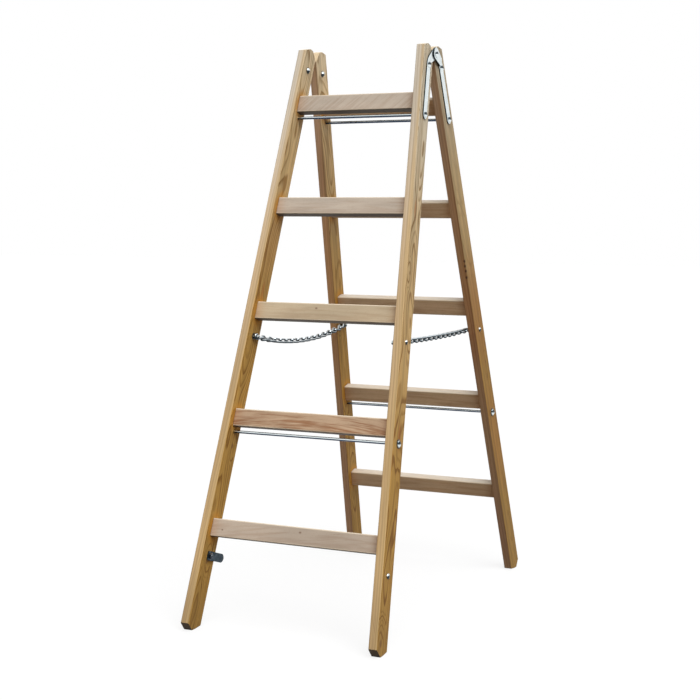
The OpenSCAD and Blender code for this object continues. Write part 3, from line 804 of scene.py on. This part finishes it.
class StileLook(NamedTuple):
    """What sets a stile apart. Places are given through it and along it from the hinge axis, in metres."""
    ripeness: float  # how much higher up than the others the heartwood ripens
    # russet painted shade: a darker, redder colour on the narrow faces
    russet_shade: float  # share of russet on the narrow faces
    narrow_shade: float
    wide_shade: float
    figure: float  # strength of the rings on the wide faces
    knots: Sequence  # place through and along, size
    amber: Sequence = ()  # place through and along, size and strength
    pits: Sequence = ()  # place across and along


STILE_LOOKS = {
    (FRONT, LEFT): StileLook(
        ripeness=0.36, russet_shade=0.0, narrow_shade=1.04, wide_shade=1.02, figure=1.0,
        knots=[(0.006, -1.130, 0.007), (-0.004, -1.445, 0.007)],
        amber=[(0.0, -0.70, 0.010, 0.7), (0.0, -0.52, 0.040, 0.2)],
    ),
    (FRONT, RIGHT): StileLook(
        ripeness=0.0, russet_shade=0.0, narrow_shade=1.0, wide_shade=0.98, figure=1.4,
        knots=[(-0.013, -1.596, 0.010), (-0.012, -0.640, 0.006)],
        amber=[(0.002, -1.075, 0.012, 0.8), (-0.010, -0.46, 0.008, 0.7)],
    ),
    (REAR, LEFT): StileLook(
        ripeness=0.36, russet_shade=0.85, narrow_shade=1.16, wide_shade=1.02, figure=1.0,
        knots=[(-0.010, -0.820, 0.006)],
    ),
    (REAR, RIGHT): StileLook(
        ripeness=0.24, russet_shade=0.92, narrow_shade=0.79, wide_shade=0.74, figure=0.40,
        knots=[(0.008, -0.930, 0.005)],
        amber=[(0.0, -0.76, 0.055, 0.45), (0.0, -1.16, 0.055, 0.35)],
        pits=[(0.0105, -0.600), (0.0100, -0.615), (0.0105, -0.630), (0.0095, -0.650)],
    ),
}


def growth_rings(graph, point, side, hand, seed, swell):
    """Share of dark late wood at a point: saw-toothed rings round a pith line that drifts along the grain.

    The point's Z runs along the grain. The distance from the pith, bent by waves of noise and by the
    swell round flames and knots, is divided by the ring spacing. Its fraction rises slowly to the late
    wood and drops sharply to the next ring, and each ring has a strength of its own.
    """
    across, depth, along = graph.split(point)
    pith = (PITH[0], PITH[1] * hand)
    drift = (PITH_DRIFT[0] * hand, PITH_DRIFT[1] * side)
    squares = 0.0
    for value, slope, middle in zip((across, depth), drift, pith):
        offset = graph.math("ADD", graph.math("MULTIPLY_ADD", along, slope, value), -middle)
        squares = graph.math("MULTIPLY_ADD", offset, offset, squares)
    radius = graph.math("SQRT", squares)
    waves = [(graph.noise(point, grain, seed), reach) for grain, reach in RING_WAVES]
    turns = graph.math("DIVIDE", graph.total(radius, *waves, swell), RING_SPACING)
    part = graph.math("FRACT", turns)
    rise = graph.between(part, *RING_RISE)
    fall = graph.between(part, *RING_FALL, 1.0, 0.0)
    ring = graph.math("FLOOR", turns)
    chance = graph.node("ShaderNodeTexWhiteNoise", {"W": ring}, noise_dimensions="1D").outputs["Value"]
    return graph.product(rise, fall, graph.between(chance, 0.0, 1.0, *RING_STRENGTHS))


def knot_marks(graph, depth, along, knots):
    """How far the knots of a stile make its rings swell, and the share of the knots' dark cores."""
    swell, cores = 0.0, 0.0
    for knot_depth, knot_along, size in knots:
        centre = (knot_depth, knot_along)
        spread = nearness(graph, (depth, along), centre, [size * part for part in KNOT_SPREAD])
        swell = graph.math("MULTIPLY_ADD", spread, KNOT_SWELL * size, swell)
        core = nearness(graph, (depth, along), centre, [size * part for part in KNOT_CORE])
        cores = graph.math("MAXIMUM", cores, core)
    return swell, cores


def along_tone(graph, along, tones):
    """A colour that runs from a stile's top through its middle to its foot."""
    top, middle, foot = tones
    lower = graph.mix(graph.between(along, *TOWARDS_FOOT), middle, foot)
    return graph.mix(graph.between(along, *TOWARDS_TOP), lower, top)


def narrow_tone(graph, across, along, cloud, russet_shade):
    """Pale sapwood with an ochre strip along one arris, and a russet painted shade over it on the rear stiles."""
    strip_place = graph.math("MULTIPLY_ADD", cloud, STRIP_WAVE, across)
    strip = graph.between(strip_place, *STRIP_EDGE, 0.0, STRIP_SHARE)
    tone = graph.mix(strip, along_tone(graph, along, SAPWOOD), OCHRE)
    # Painted shade, darker and redder, on the narrow faces of the rear stiles
    if russet_shade:
        share = graph.between(cloud, *SOFT_SPREAD, russet_shade, RUSSET_SHADE_THIN * russet_shade)
        tone = graph.mix(share, tone, along_tone(graph, along, RUSSET_SHADE))
        tone = graph.scaled(tone, graph.between(across, *ARRIS_EDGE, 1.0, ARRIS_SHADE))
    return tone


def wide_tone(graph, depth, along, ripeness, amber):
    """Heartwood that ripens towards the foot, with amber patches."""
    tone = along_tone(graph, graph.math("SUBTRACT", along, ripeness), HEARTWOOD)
    for patch_depth, patch_along, size, strength in amber:
        reach = (size, AMBER_STRETCH * size)
        patch = nearness(graph, (depth, along), (patch_depth, patch_along), reach)
        tone = graph.mix(graph.product(patch, strength), tone, AMBER)
    return tone


def joint_stain(graph, across, depth, along, cloud, hand):
    """Share of the stain round the rungs, on a stile's inner face alone."""
    joints = 0.0
    for number in RUNG_NUMBERS:
        centre = (0, -rung_drop(number) / math.cos(SPLAY))
        joints = graph.math("MAXIMUM", joints, nearness(graph, (depth, along), centre, STAIN_REACH))
    inside = graph.between(graph.product(across, -hand), *INNER_EDGE)
    return graph.product(joints, inside, graph.between(cloud, *STARK_SPREAD, *STAIN_SHARES))


def sawn_ends(graph, colour, upright, along, cloud):
    """A stile's colour with pale wood on its top end and painted shade on its sole."""
    cut = graph.between(graph.math("ABSOLUTE", upright), *CUT_FACING)
    top = graph.product(cut, graph.between(along, *TOP_END), SAWN_SHARE)
    colour = graph.mix(top, colour, SAWN_PINE)
    # Painted shade on the downward-facing soles
    sole = graph.product(graph.between(upright, *SOLE_FACING), graph.between(along, *SOLE_END))
    sole_shade = graph.product(sole, graph.between(cloud, *SOFT_SPREAD, *SOLE_SHADE_SHARES))
    return graph.mix(sole_shade, colour, SOLE_SHADE)


def pine_finish(name, side, hand, seed, look):
    """Planed pine: straight rings on the narrow faces, flamed ones on the wide, knots, fibres and stains.

    The narrow faces are pale sapwood with a ripe strip along one arris, the wide faces ripe heartwood.
    """
    graph = Graph(bpy.data.materials.new(name))
    place = stile_frame(side, hand)
    point = graph.local(place)
    across, depth, along = graph.split(point)
    facing = graph.facing(place)
    wide = graph.between(graph.math("ABSOLUTE", facing[0]), *WIDE_FACING)
    flame = graph.noise(point, PINE_FLAME, seed)
    streak = graph.noise(point, PINE_STREAK, seed)
    cloud = graph.noise(point, PINE_CLOUD, seed)
    fibre = graph.noise(point, PINE_FIBRE, seed)
    knot_swell, knot_cores = knot_marks(graph, depth, along, look.knots)
    swell = graph.math("MULTIPLY_ADD", graph.product(flame, wide), FLAME_SWELL, knot_swell)
    late = growth_rings(graph, point, side, hand, seed, swell)

    early = graph.mix(wide, narrow_tone(graph, across, along, cloud, look.russet_shade),
                      wide_tone(graph, depth, along, look.ripeness, look.amber))
    line_share = graph.product(late, graph.between(wide, 0.0, 1.0, NARROW_FIGURE, look.figure))
    colour = graph.mix(line_share, early, graph.tinted(early, LATE_WOOD_TINT))

    narrow_shade = graph.product(graph.between(streak, *MIDDLE_SPREAD, *NARROW_STREAKS), look.narrow_shade)
    wide_shade = graph.product(graph.between(streak, *MIDDLE_SPREAD, *WIDE_STREAKS), look.wide_shade)
    contrast = graph.math("SUBTRACT", wide_shade, narrow_shade)
    face_shade = graph.math("MULTIPLY_ADD", wide, contrast, narrow_shade)
    fibre_shade = graph.between(fibre, *SOFT_SPREAD, *FIBRE_SHADES)
    # Painted shade towards the feet
    foot_shade_place = graph.math("MULTIPLY_ADD", cloud, FOOT_SHADE_WAVE, along)
    foot_shade = graph.between(foot_shade_place, *FOOT_SHADE_EDGE, 1.0, FOOT_SHADES[side])
    colour = graph.scaled(colour, graph.product(face_shade, fibre_shade, foot_shade))

    colour = graph.mix(joint_stain(graph, across, depth, along, cloud, hand), colour, JOINT_STAIN)
    colour = graph.mix(graph.product(knot_cores, KNOT_STRENGTH), colour, KNOT_BROWN)
    for pit_across, pit_along in look.pits:
        centre = (pit_across, -STILE_DEPTH / 2, pit_along)
        pit = nearness(graph, (across, depth, along), centre, PIT_REACH)
        colour = graph.mix(graph.product(pit, PIT_SHARE), colour, PIT_BROWN)
    colour = sawn_ends(graph, colour, facing[2], along, cloud)
    # Painted shade where other faces stand close
    colour = graph.corner_shaded(colour, *PINE_CORNER_SHADE)
    relief = graph.bump(graph.total((late, LATE_WOOD_HEIGHT), fibre), *PINE_BUMP)
    roughness = graph.between(fibre, *SOFT_SPREAD, *PINE_ROUGHNESS)
    return graph.finish(colour, roughness, relief, PINE_SPECULAR)


# Grains of the beech: its streaks are 16 times longer than wide, and each rung gives their pitch
BEECH_STREAK = Grain((1, 1, 1 / 16), 3.0, 0.65)
BEECH_FLECK = Grain((900, 900, 140), 2.0, 0.6)
BEECH_CLOUD = Grain((26, 26, 5), 3.0)

# Tones of the rungs, and the share of a tone that its clouds keep
BEECH = opaque(0.54, 0.46, 0.375)
PALE_BEECH = opaque(0.50, 0.41, 0.325)
YELLOW_BEECH = opaque(0.58, 0.465, 0.315)
RED_BEECH = opaque(0.56, 0.39, 0.255)
BROWN_BEECH = opaque(0.59, 0.42, 0.26)
CLOUD_SHADE = 0.78

# Streaks: the noise at which they start and are full, how much more they show lower down, and their tint
STREAK_EDGE = (0.42, 0.66)
STREAK_FALL = 4.0
STREAK_TINT = (0.60, 0.44, 0.34)

# Short flecks all over and the few dark ones that stand out: edge, share, colour, and height to length
FLECK_EDGE = (0.56, 0.74)
FLECK_SHARE = 0.40
FLECK_BROWN = opaque(0.26, 0.17, 0.11)
DARK_FLECK_HEIGHT = 0.7
DARK_FLECK_SHARE = 0.75
DARK_FLECK_BROWN = opaque(0.16, 0.085, 0.05)

# Warm tint close to the stiles: where it starts and is full before the end, its share and colour
END_TINT_REACH = (35 * MM, 5 * MM)
END_TINT_SHARE = 0.55
END_TINT = (0.95, 0.82, 0.72)

# Painted light on the tops, painted highlights on the edges and painted shade on the undersides: share of
# direction or reach, shares and colours
TOP_FACING = (-0.6, -0.95)
LIT_TOP_SHARES = (0.5, 0.8)
LIT_TOP_BEECH = opaque(0.66, 0.61, 0.53)
EDGE_HIGHLIGHT_REACH = (4.5 * MM, 1.5 * MM)
EDGE_HIGHLIGHT_SPREAD = (0.2, 0.7)
EDGE_HIGHLIGHT_SHARES = (0.45, 0.85)
EDGE_HIGHLIGHT_BEECH = opaque(0.68, 0.59, 0.45)
UNDER_FACING = (0.55, 0.9)
UNDER_SHADE = 0.22

# Gloss and relief of the beech, and the painted shade in its corners
BEECH_ROUGHNESS = (0.48, 0.62)
BEECH_SPECULAR = 0.2
BEECH_BUMP = (0.18, 0.3 * MM)
STREAK_HEIGHT = 0.6
BEECH_CORNER_SHADE = (8 * MM, (0.25, 0.8), 0.5)


class RungLook(NamedTuple):
    """What sets a rung apart. Places are given along it and down it from its middle, in metres."""
    tone: tuple
    pitch: float = 130  # streaks to the metre
    slope: float = 0.0  # drop of a streak to the way along
    bend: float = 0.1  # drop of a streak to the way along squared
    streak_share: float = 0.30
    flecks: Sequence = ()  # place along and down, size


PLAIN_RUNGS = {FRONT: RungLook(BEECH), REAR: RungLook(BROWN_BEECH, streak_share=0.40)}
RUNG_LOOKS = {
    (FRONT, 1): RungLook(BEECH, 150, slope=-0.9, bend=0.0),
    (FRONT, 3): RungLook(YELLOW_BEECH, bend=0.0, flecks=[(-0.029, -0.0096, 0.005)]),
    (FRONT, 4): RungLook(RED_BEECH, bend=0.35, streak_share=1.0),
    (FRONT, 5): RungLook(PALE_BEECH, slope=-0.1, bend=0.2,
                         flecks=[(0.018, -0.0096, 0.005), (-0.211, 0.0048, 0.004)]),
    (REAR, 4): RungLook(BROWN_BEECH, bend=0.2, streak_share=0.40, flecks=[(-0.05, 0.004, 0.004)]),
}


def beech_finish(name, side, number, seed, look):
    """Planed beech: straight, slanted or arched streaks, short dark flecks and cloudy tone, with painted
    highlights on the edges.

    A streak drops by slope times the way along the rung and by bend times that way squared.
    """
    graph = Graph(bpy.data.materials.new(name))
    place = rung_frame(side, number)
    point = graph.local(place)
    down, through, along = graph.split(point)
    facing = graph.facing(place)
    arch = graph.math("MULTIPLY_ADD", graph.product(along, along), -look.bend, down)
    level = graph.math("MULTIPLY_ADD", along, -look.slope, arch)
    slanted = graph.node("ShaderNodeCombineXYZ", {0: level, 1: through, 2: along}).outputs[0]
    streak = graph.noise(slanted, BEECH_STREAK.finer(look.pitch), seed)
    fleck = graph.noise(point, BEECH_FLECK, seed)
    cloud = graph.noise(point, BEECH_CLOUD, seed)

    clouded = opaque(*(CLOUD_SHADE * part for part in look.tone[:3]))
    colour = graph.mix(graph.between(cloud, *MIDDLE_SPREAD), look.tone, clouded)
    fallen_streak = graph.math("MULTIPLY_ADD", down, STREAK_FALL, streak)
    lines = graph.between(fallen_streak, *STREAK_EDGE, 0.0, look.streak_share)
    colour = graph.mix(lines, colour, graph.tinted(colour, STREAK_TINT))
    colour = graph.mix(graph.between(fleck, *FLECK_EDGE, 0.0, FLECK_SHARE), colour, FLECK_BROWN)
    for fleck_along, fleck_down, size in look.flecks:
        spot = nearness(graph, (along, down), (fleck_along, fleck_down), (size, DARK_FLECK_HEIGHT * size))
        colour = graph.mix(graph.product(spot, DARK_FLECK_SHARE), colour, DARK_FLECK_BROWN)

    free_half = stile_centre(rung_drop(number)) - STILE_THICKNESS / 2
    end_edge = [free_half - reach for reach in END_TINT_REACH]
    near_end = graph.between(graph.math("ABSOLUTE", along), *end_edge, 0.0, END_TINT_SHARE)
    colour = graph.mix(near_end, colour, graph.tinted(colour, END_TINT))
    # Painted light: the upward faces are paler
    lit_top = graph.product(graph.between(facing[0], *TOP_FACING),
                            graph.between(cloud, *SOFT_SPREAD, *LIT_TOP_SHARES))
    colour = graph.mix(lit_top, colour, LIT_TOP_BEECH)
    from_top = graph.math("SUBTRACT", RUNG_HEIGHT / 2, graph.math("ABSOLUTE", down))
    from_front = graph.math("SUBTRACT", RUNG_DEPTH / 2, graph.math("ABSOLUTE", through))
    from_edges = graph.math("MAXIMUM", from_top, from_front)
    # Painted highlights along the edges
    edge_highlight = graph.product(graph.between(from_edges, *EDGE_HIGHLIGHT_REACH),
                         graph.between(cloud, *EDGE_HIGHLIGHT_SPREAD, *EDGE_HIGHLIGHT_SHARES))
    colour = graph.mix(edge_highlight, colour, EDGE_HIGHLIGHT_BEECH)
    # Painted shade on the undersides
    colour = graph.scaled(colour, graph.between(facing[0], *UNDER_FACING, 1.0, UNDER_SHADE))
    # Painted shade where other faces stand close
    colour = graph.corner_shaded(colour, *BEECH_CORNER_SHADE)
    relief = graph.bump(graph.total(fleck, (streak, STREAK_HEIGHT)), *BEECH_BUMP)
    roughness = graph.between(fleck, *SOFT_SPREAD, *BEECH_ROUGHNESS)
    return graph.finish(colour, roughness, relief, BEECH_SPECULAR)


# Tones of the steels, and the colours of the painted shade, dark reflections and highlights laid over them
LIGHT_ZINC_AND_HIGHLIGHT = opaque(0.82, 0.875, 0.88)
BRIGHT_ZINC = (LIGHT_ZINC_AND_HIGHLIGHT, opaque(0.68, 0.75, 0.765))
DULL_ZINC = (opaque(0.12, 0.115, 0.10), opaque(0.06, 0.058, 0.05))
GALVANISED = (opaque(0.84, 0.90, 0.93), opaque(0.64, 0.70, 0.73))
MILL_STEEL = (opaque(0.04, 0.062, 0.08), opaque(0.022, 0.037, 0.05))
DARK_STEEL = (opaque(0.045, 0.055, 0.08), opaque(0.03, 0.04, 0.055))
# Painted shade and dark reflections
DARK_REFLECTION_AND_SHADE = opaque(0.03, 0.04, 0.047)
GREY_CHAIN_SHADE = opaque(0.14, 0.175, 0.20)
BLUE_DARK_REFLECTION = opaque(0.035, 0.055, 0.095)
GLEAM = opaque(0.75, 0.79, 0.82)
# Clouds, uneven gloss, relief of the scratches, and openness and darkest share of the painted shade in corners
STEEL_CLOUD = Grain((1, 1, 1), 3.0)
GLOSS_SHARES = (0.8, 1.25)
SCRATCH_BUMP = (0.08, 0.2 * MM)
STEEL_CORNER_SHADE = ((0.2, 0.75), 0.35)


class SteelLook(NamedTuple):
    """A steel: the name of its material, its two tones, roughness, clouds to the metre and paint.

    Each entry of paint is painted light: a measure, two values of it and a colour, which fades in from the
    first value to the second; dark colours paint shade and dark reflections, light ones highlights. The
    measures are the face's shares of sideways and of upwards. Scratches run along their grain, and shade
    is painted where other faces stand closer than the corner shade's reach.
    """
    name: str
    tones: tuple
    roughness: float
    clouds: float = 60
    paint: Sequence = ()
    scratches: Grain = Grain((900, 2400, 120))
    # reach of the painted shade in corners
    corner_shade_reach: float = 6 * MM


STEEL_LOOKS = {
    # Straps: painted shade and dark reflections along their edges
    "strap": SteelLook("bright_zinc", BRIGHT_ZINC, 0.26, paint=[("side", 0.95, 0.50, DARK_REFLECTION_AND_SHADE)]),
    # Bolts, nuts and studs: painted shade on their lower parts
    "bolt": SteelLook("bright_zinc_bolts", BRIGHT_ZINC, 0.22, paint=[("up", 0.10, -0.15, DARK_REFLECTION_AND_SHADE)]),
    "stud": SteelLook("bright_zinc_studs", BRIGHT_ZINC, 0.22, paint=[("up", 0.42, 0.12, DARK_REFLECTION_AND_SHADE)]),
    "washer": SteelLook("dull_zinc_washers", DULL_ZINC, 0.35),
    # Caps and rivets: a painted dark reflection on their upper half and a painted highlight on top
    "cap": SteelLook("bright_zinc_caps", BRIGHT_ZINC, 0.22,
                     paint=[("up", -0.06, 0.05, DARK_REFLECTION_AND_SHADE), ("up", 0.58, 0.78, LIGHT_ZINC_AND_HIGHLIGHT)]),
    "rivet": SteelLook("bright_zinc_rivets", BRIGHT_ZINC, 0.26,
                       paint=[("up", 0.00, 0.10, DARK_REFLECTION_AND_SHADE), ("up", 0.55, 0.75, LIGHT_ZINC_AND_HIGHLIGHT)]),
    # Rods: a painted dark reflection on their lower half
    "rod": SteelLook("bright_zinc_rods", BRIGHT_ZINC, 0.26, paint=[("up", 0.25, -0.12, BLUE_DARK_REFLECTION)],
                     scratches=Grain((40, 2400, 2400))),
    # Chain: painted shade on the sides of the wire and darker painted shade underneath
    "chain": SteelLook("dull_galvanised", GALVANISED, 0.32, 150,
                       paint=[("up", 0.58, 0.25, GREY_CHAIN_SHADE), ("up", 0.12, -0.12, DARK_REFLECTION_AND_SHADE)], corner_shade_reach=8 * MM),
    "guide": SteelLook("dark_mill_steel", MILL_STEEL, 0.42, 80),
    # Nuts: a painted highlight on their upward faces
    "nut": SteelLook("dark_nuts", DARK_STEEL, 0.28, 80, paint=[("up", 0.45, 0.85, GLEAM)]),
}


def steel_finish(look):
    """Plated steel: cloudy tone, uneven gloss, fine scratches along the grain, painted light by the face's
    direction, and painted shade in the corners.
    """
    graph = Graph(bpy.data.materials.new(look.name))
    coordinates = graph.node("ShaderNodeTexCoord").outputs
    point = coordinates["Object"]
    sideways, outward, upward = graph.split(coordinates["Normal"])
    shares = {"side": graph.math("ABSOLUTE", sideways), "up": upward}
    cloud = graph.noise(point, STEEL_CLOUD.finer(look.clouds))
    scratch = graph.noise(point, look.scratches)
    tone = graph.mix(graph.between(cloud, *STARK_SPREAD), *look.tones)
    # Painted light: shade, dark reflections and highlights laid by the face's direction
    for share, first, last, colour in look.paint:
        tone = graph.mix(graph.between(shares[share], first, last), tone, colour)
    # Painted shade where other faces stand close
    tone = graph.corner_shaded(tone, look.corner_shade_reach, *STEEL_CORNER_SHADE)
    gloss = graph.between(cloud, *STARK_SPREAD, *(look.roughness * share for share in GLOSS_SHARES))
    return graph.finish(tone, gloss, graph.bump(scratch, *SCRATCH_BUMP), metallic=1.0)


def dress(node_name, material):
    """Put a finish in every material slot of a node."""
    for material_slot in frame["nodes"][node_name].material_slots:
        material_slot.material = material


def dress_wood():
    """Finish the stiles and rungs, each with grain from a place of its own in the noise."""
    for side in (FRONT, REAR):
        for hand in (LEFT, RIGHT):
            name = f"{SIDE_NAMES[side]}_{HAND_NAMES[hand]}_stile"
            seed = (7.3 * side + 2.1 * hand, 3.7 * hand, 1.9 * side)
            dress(name, pine_finish(f"pine_{name}", side, hand, seed, STILE_LOOKS[side, hand]))
        for number in RUNG_NUMBERS:
            name = f"{SIDE_NAMES[side]}_rung_{number}"
            seed = (5.1 * number, 2.3 * side, 1.7 * number)
            look = RUNG_LOOKS.get((side, number), PLAIN_RUNGS[side])
            dress(name, beech_finish(f"beech_{name}", side, number, seed, look))


def add_camera():
    """The camera's axes from its yaw, pitch and roll."""
    forward = Vector((-math.sin(CAMERA_YAW) * math.cos(CAMERA_PITCH),
                      math.cos(CAMERA_YAW) * math.cos(CAMERA_PITCH), -math.sin(CAMERA_PITCH)))
    level = Vector((math.cos(CAMERA_YAW), math.sin(CAMERA_YAW), 0))
    upright = level.cross(forward)
    right = math.cos(CAMERA_ROLL) * level + math.sin(CAMERA_ROLL) * upright
    up = math.cos(CAMERA_ROLL) * upright - math.sin(CAMERA_ROLL) * level
    data = bpy.data.cameras.new("camera")
    data.sensor_width = SENSOR_WIDTH
    data.lens = SENSOR_WIDTH * FOCAL_PIXELS / IMAGE_WIDTH
    camera = bpy.data.objects.new("camera", data)
    bpy.context.scene.collection.objects.link(camera)
    axes = Matrix((right, up, -forward)).transposed().to_4x4()
    camera.matrix_world = Matrix.Translation(CAMERA_PLACE) @ axes
    bpy.context.scene.camera = camera


# The studio: sky below and above the horizon and where it turns, the floor, and its light on the ladder
WHITE = opaque(1, 1, 1)
SKY_BELOW = opaque(0.05, 0.035, 0.02)
SKY_ABOVE = opaque(0.64, 0.64, 0.64)
SKY_TURN = (-0.05, 0.40)
FLOOR_HALF = 40.0
FLOOR_PAPER = opaque(0.15, 0.15, 0.15)
FLOOR_GLOW = 0.80
FLOOR_BOUNCE = opaque(0.09, 0.055, 0.03)


class Sun(NamedTuple):
    """A wide soft light: the direction it shines from, its spread in degrees, and its strength."""
    direction: tuple
    spread: float
    strength: float
    gleams: bool = True  # whether polished steel shows it


SUNS = {
    "key": Sun((0.38, -0.43, 0.82), 50, 2.9),
    "fill": Sun((0.97, -0.05, 0.26), 80, 0.45),
    "back": Sun((-0.25, 0.95, 0.20), 60, 1.2, gleams=False),
}


def seen_directly(graph):
    """1 for camera, glossy and transmission rays, 0 for the rays that carry light to the object."""
    rays = graph.node("ShaderNodeLightPath").outputs
    seen = graph.math("MAXIMUM", rays["Is Camera Ray"], rays["Is Glossy Ray"])
    return graph.math("MAXIMUM", seen, rays["Is Transmission Ray"])


def add_world():
    """White where it is seen; where it lights, a soft sky that is white above, dim and warm below."""
    world = bpy.data.worlds.new("studio")
    bpy.context.scene.world = world
    graph = Graph(world)
    height = graph.split(graph.node("ShaderNodeTexCoord").outputs["Generated"])["Z"]
    rise = graph.node("ShaderNodeMapRange", {0: height, 1: SKY_TURN[0], 2: SKY_TURN[1]}).outputs[0]
    sky = graph.tree.nodes["Background"]
    graph.put(sky.inputs["Color"], graph.mix(rise, SKY_BELOW, SKY_ABOVE))
    white = graph.node("ShaderNodeBackground", {"Color": WHITE}).outputs[0]
    shown = graph.node("ShaderNodeMixShader", {0: seen_directly(graph), 1: sky.outputs[0], 2: white})
    graph.put(graph.tree.nodes["World Output"].inputs[0], shown.outputs[0])


def add_floor():
    """A pale floor that shows white with a soft shadow, and gives little light back to the object."""
    corners = [(x * FLOOR_HALF, y * FLOOR_HALF, 0) for x, y in ((-1, -1), (1, -1), (1, 1), (-1, 1))]
    mesh = bpy.data.meshes.new("floor")
    mesh.from_pydata(corners, [], [(0, 1, 2, 3)])
    floor = bpy.data.objects.new("floor", mesh)
    bpy.context.scene.collection.objects.link(floor)
    graph = Graph(bpy.data.materials.new("floor_paper"))
    graph.tree.nodes.remove(graph.tree.nodes["Principled BSDF"])
    paper = graph.node("ShaderNodeBsdfDiffuse", {"Color": FLOOR_PAPER}).outputs[0]
    glow = graph.node("ShaderNodeEmission", {"Strength": FLOOR_GLOW}).outputs[0]
    seen = graph.node("ShaderNodeAddShader", {0: paper, 1: glow}).outputs[0]
    bounce = graph.node("ShaderNodeBsdfDiffuse", {"Color": FLOOR_BOUNCE}).outputs[0]
    shown = graph.node("ShaderNodeMixShader", {0: seen_directly(graph), 1: bounce, 2: seen})
    graph.put(graph.tree.nodes["Material Output"].inputs[0], shown.outputs[0])
    mesh.materials.append(graph.owner)


def add_suns():
    """The soft lights, each turned to shine from its direction."""
    for name, sun in SUNS.items():
        data = bpy.data.lights.new(name, "SUN")
        data.angle = math.radians(sun.spread)
        data.energy = sun.strength
        lamp = bpy.data.objects.new(name, data)
        bpy.context.scene.collection.objects.link(lamp)
        lamp.rotation_euler = Vector(sun.direction).to_track_quat("Z", "Y").to_euler()
        lamp.visible_glossy = sun.gleams


dress_wood()
add_metalwork({kind: steel_finish(look) for kind, look in STEEL_LOOKS.items()})
add_world()
add_floor()
add_suns()
add_camera()
bpy.context.scene.view_settings.view_transform = "Standard"
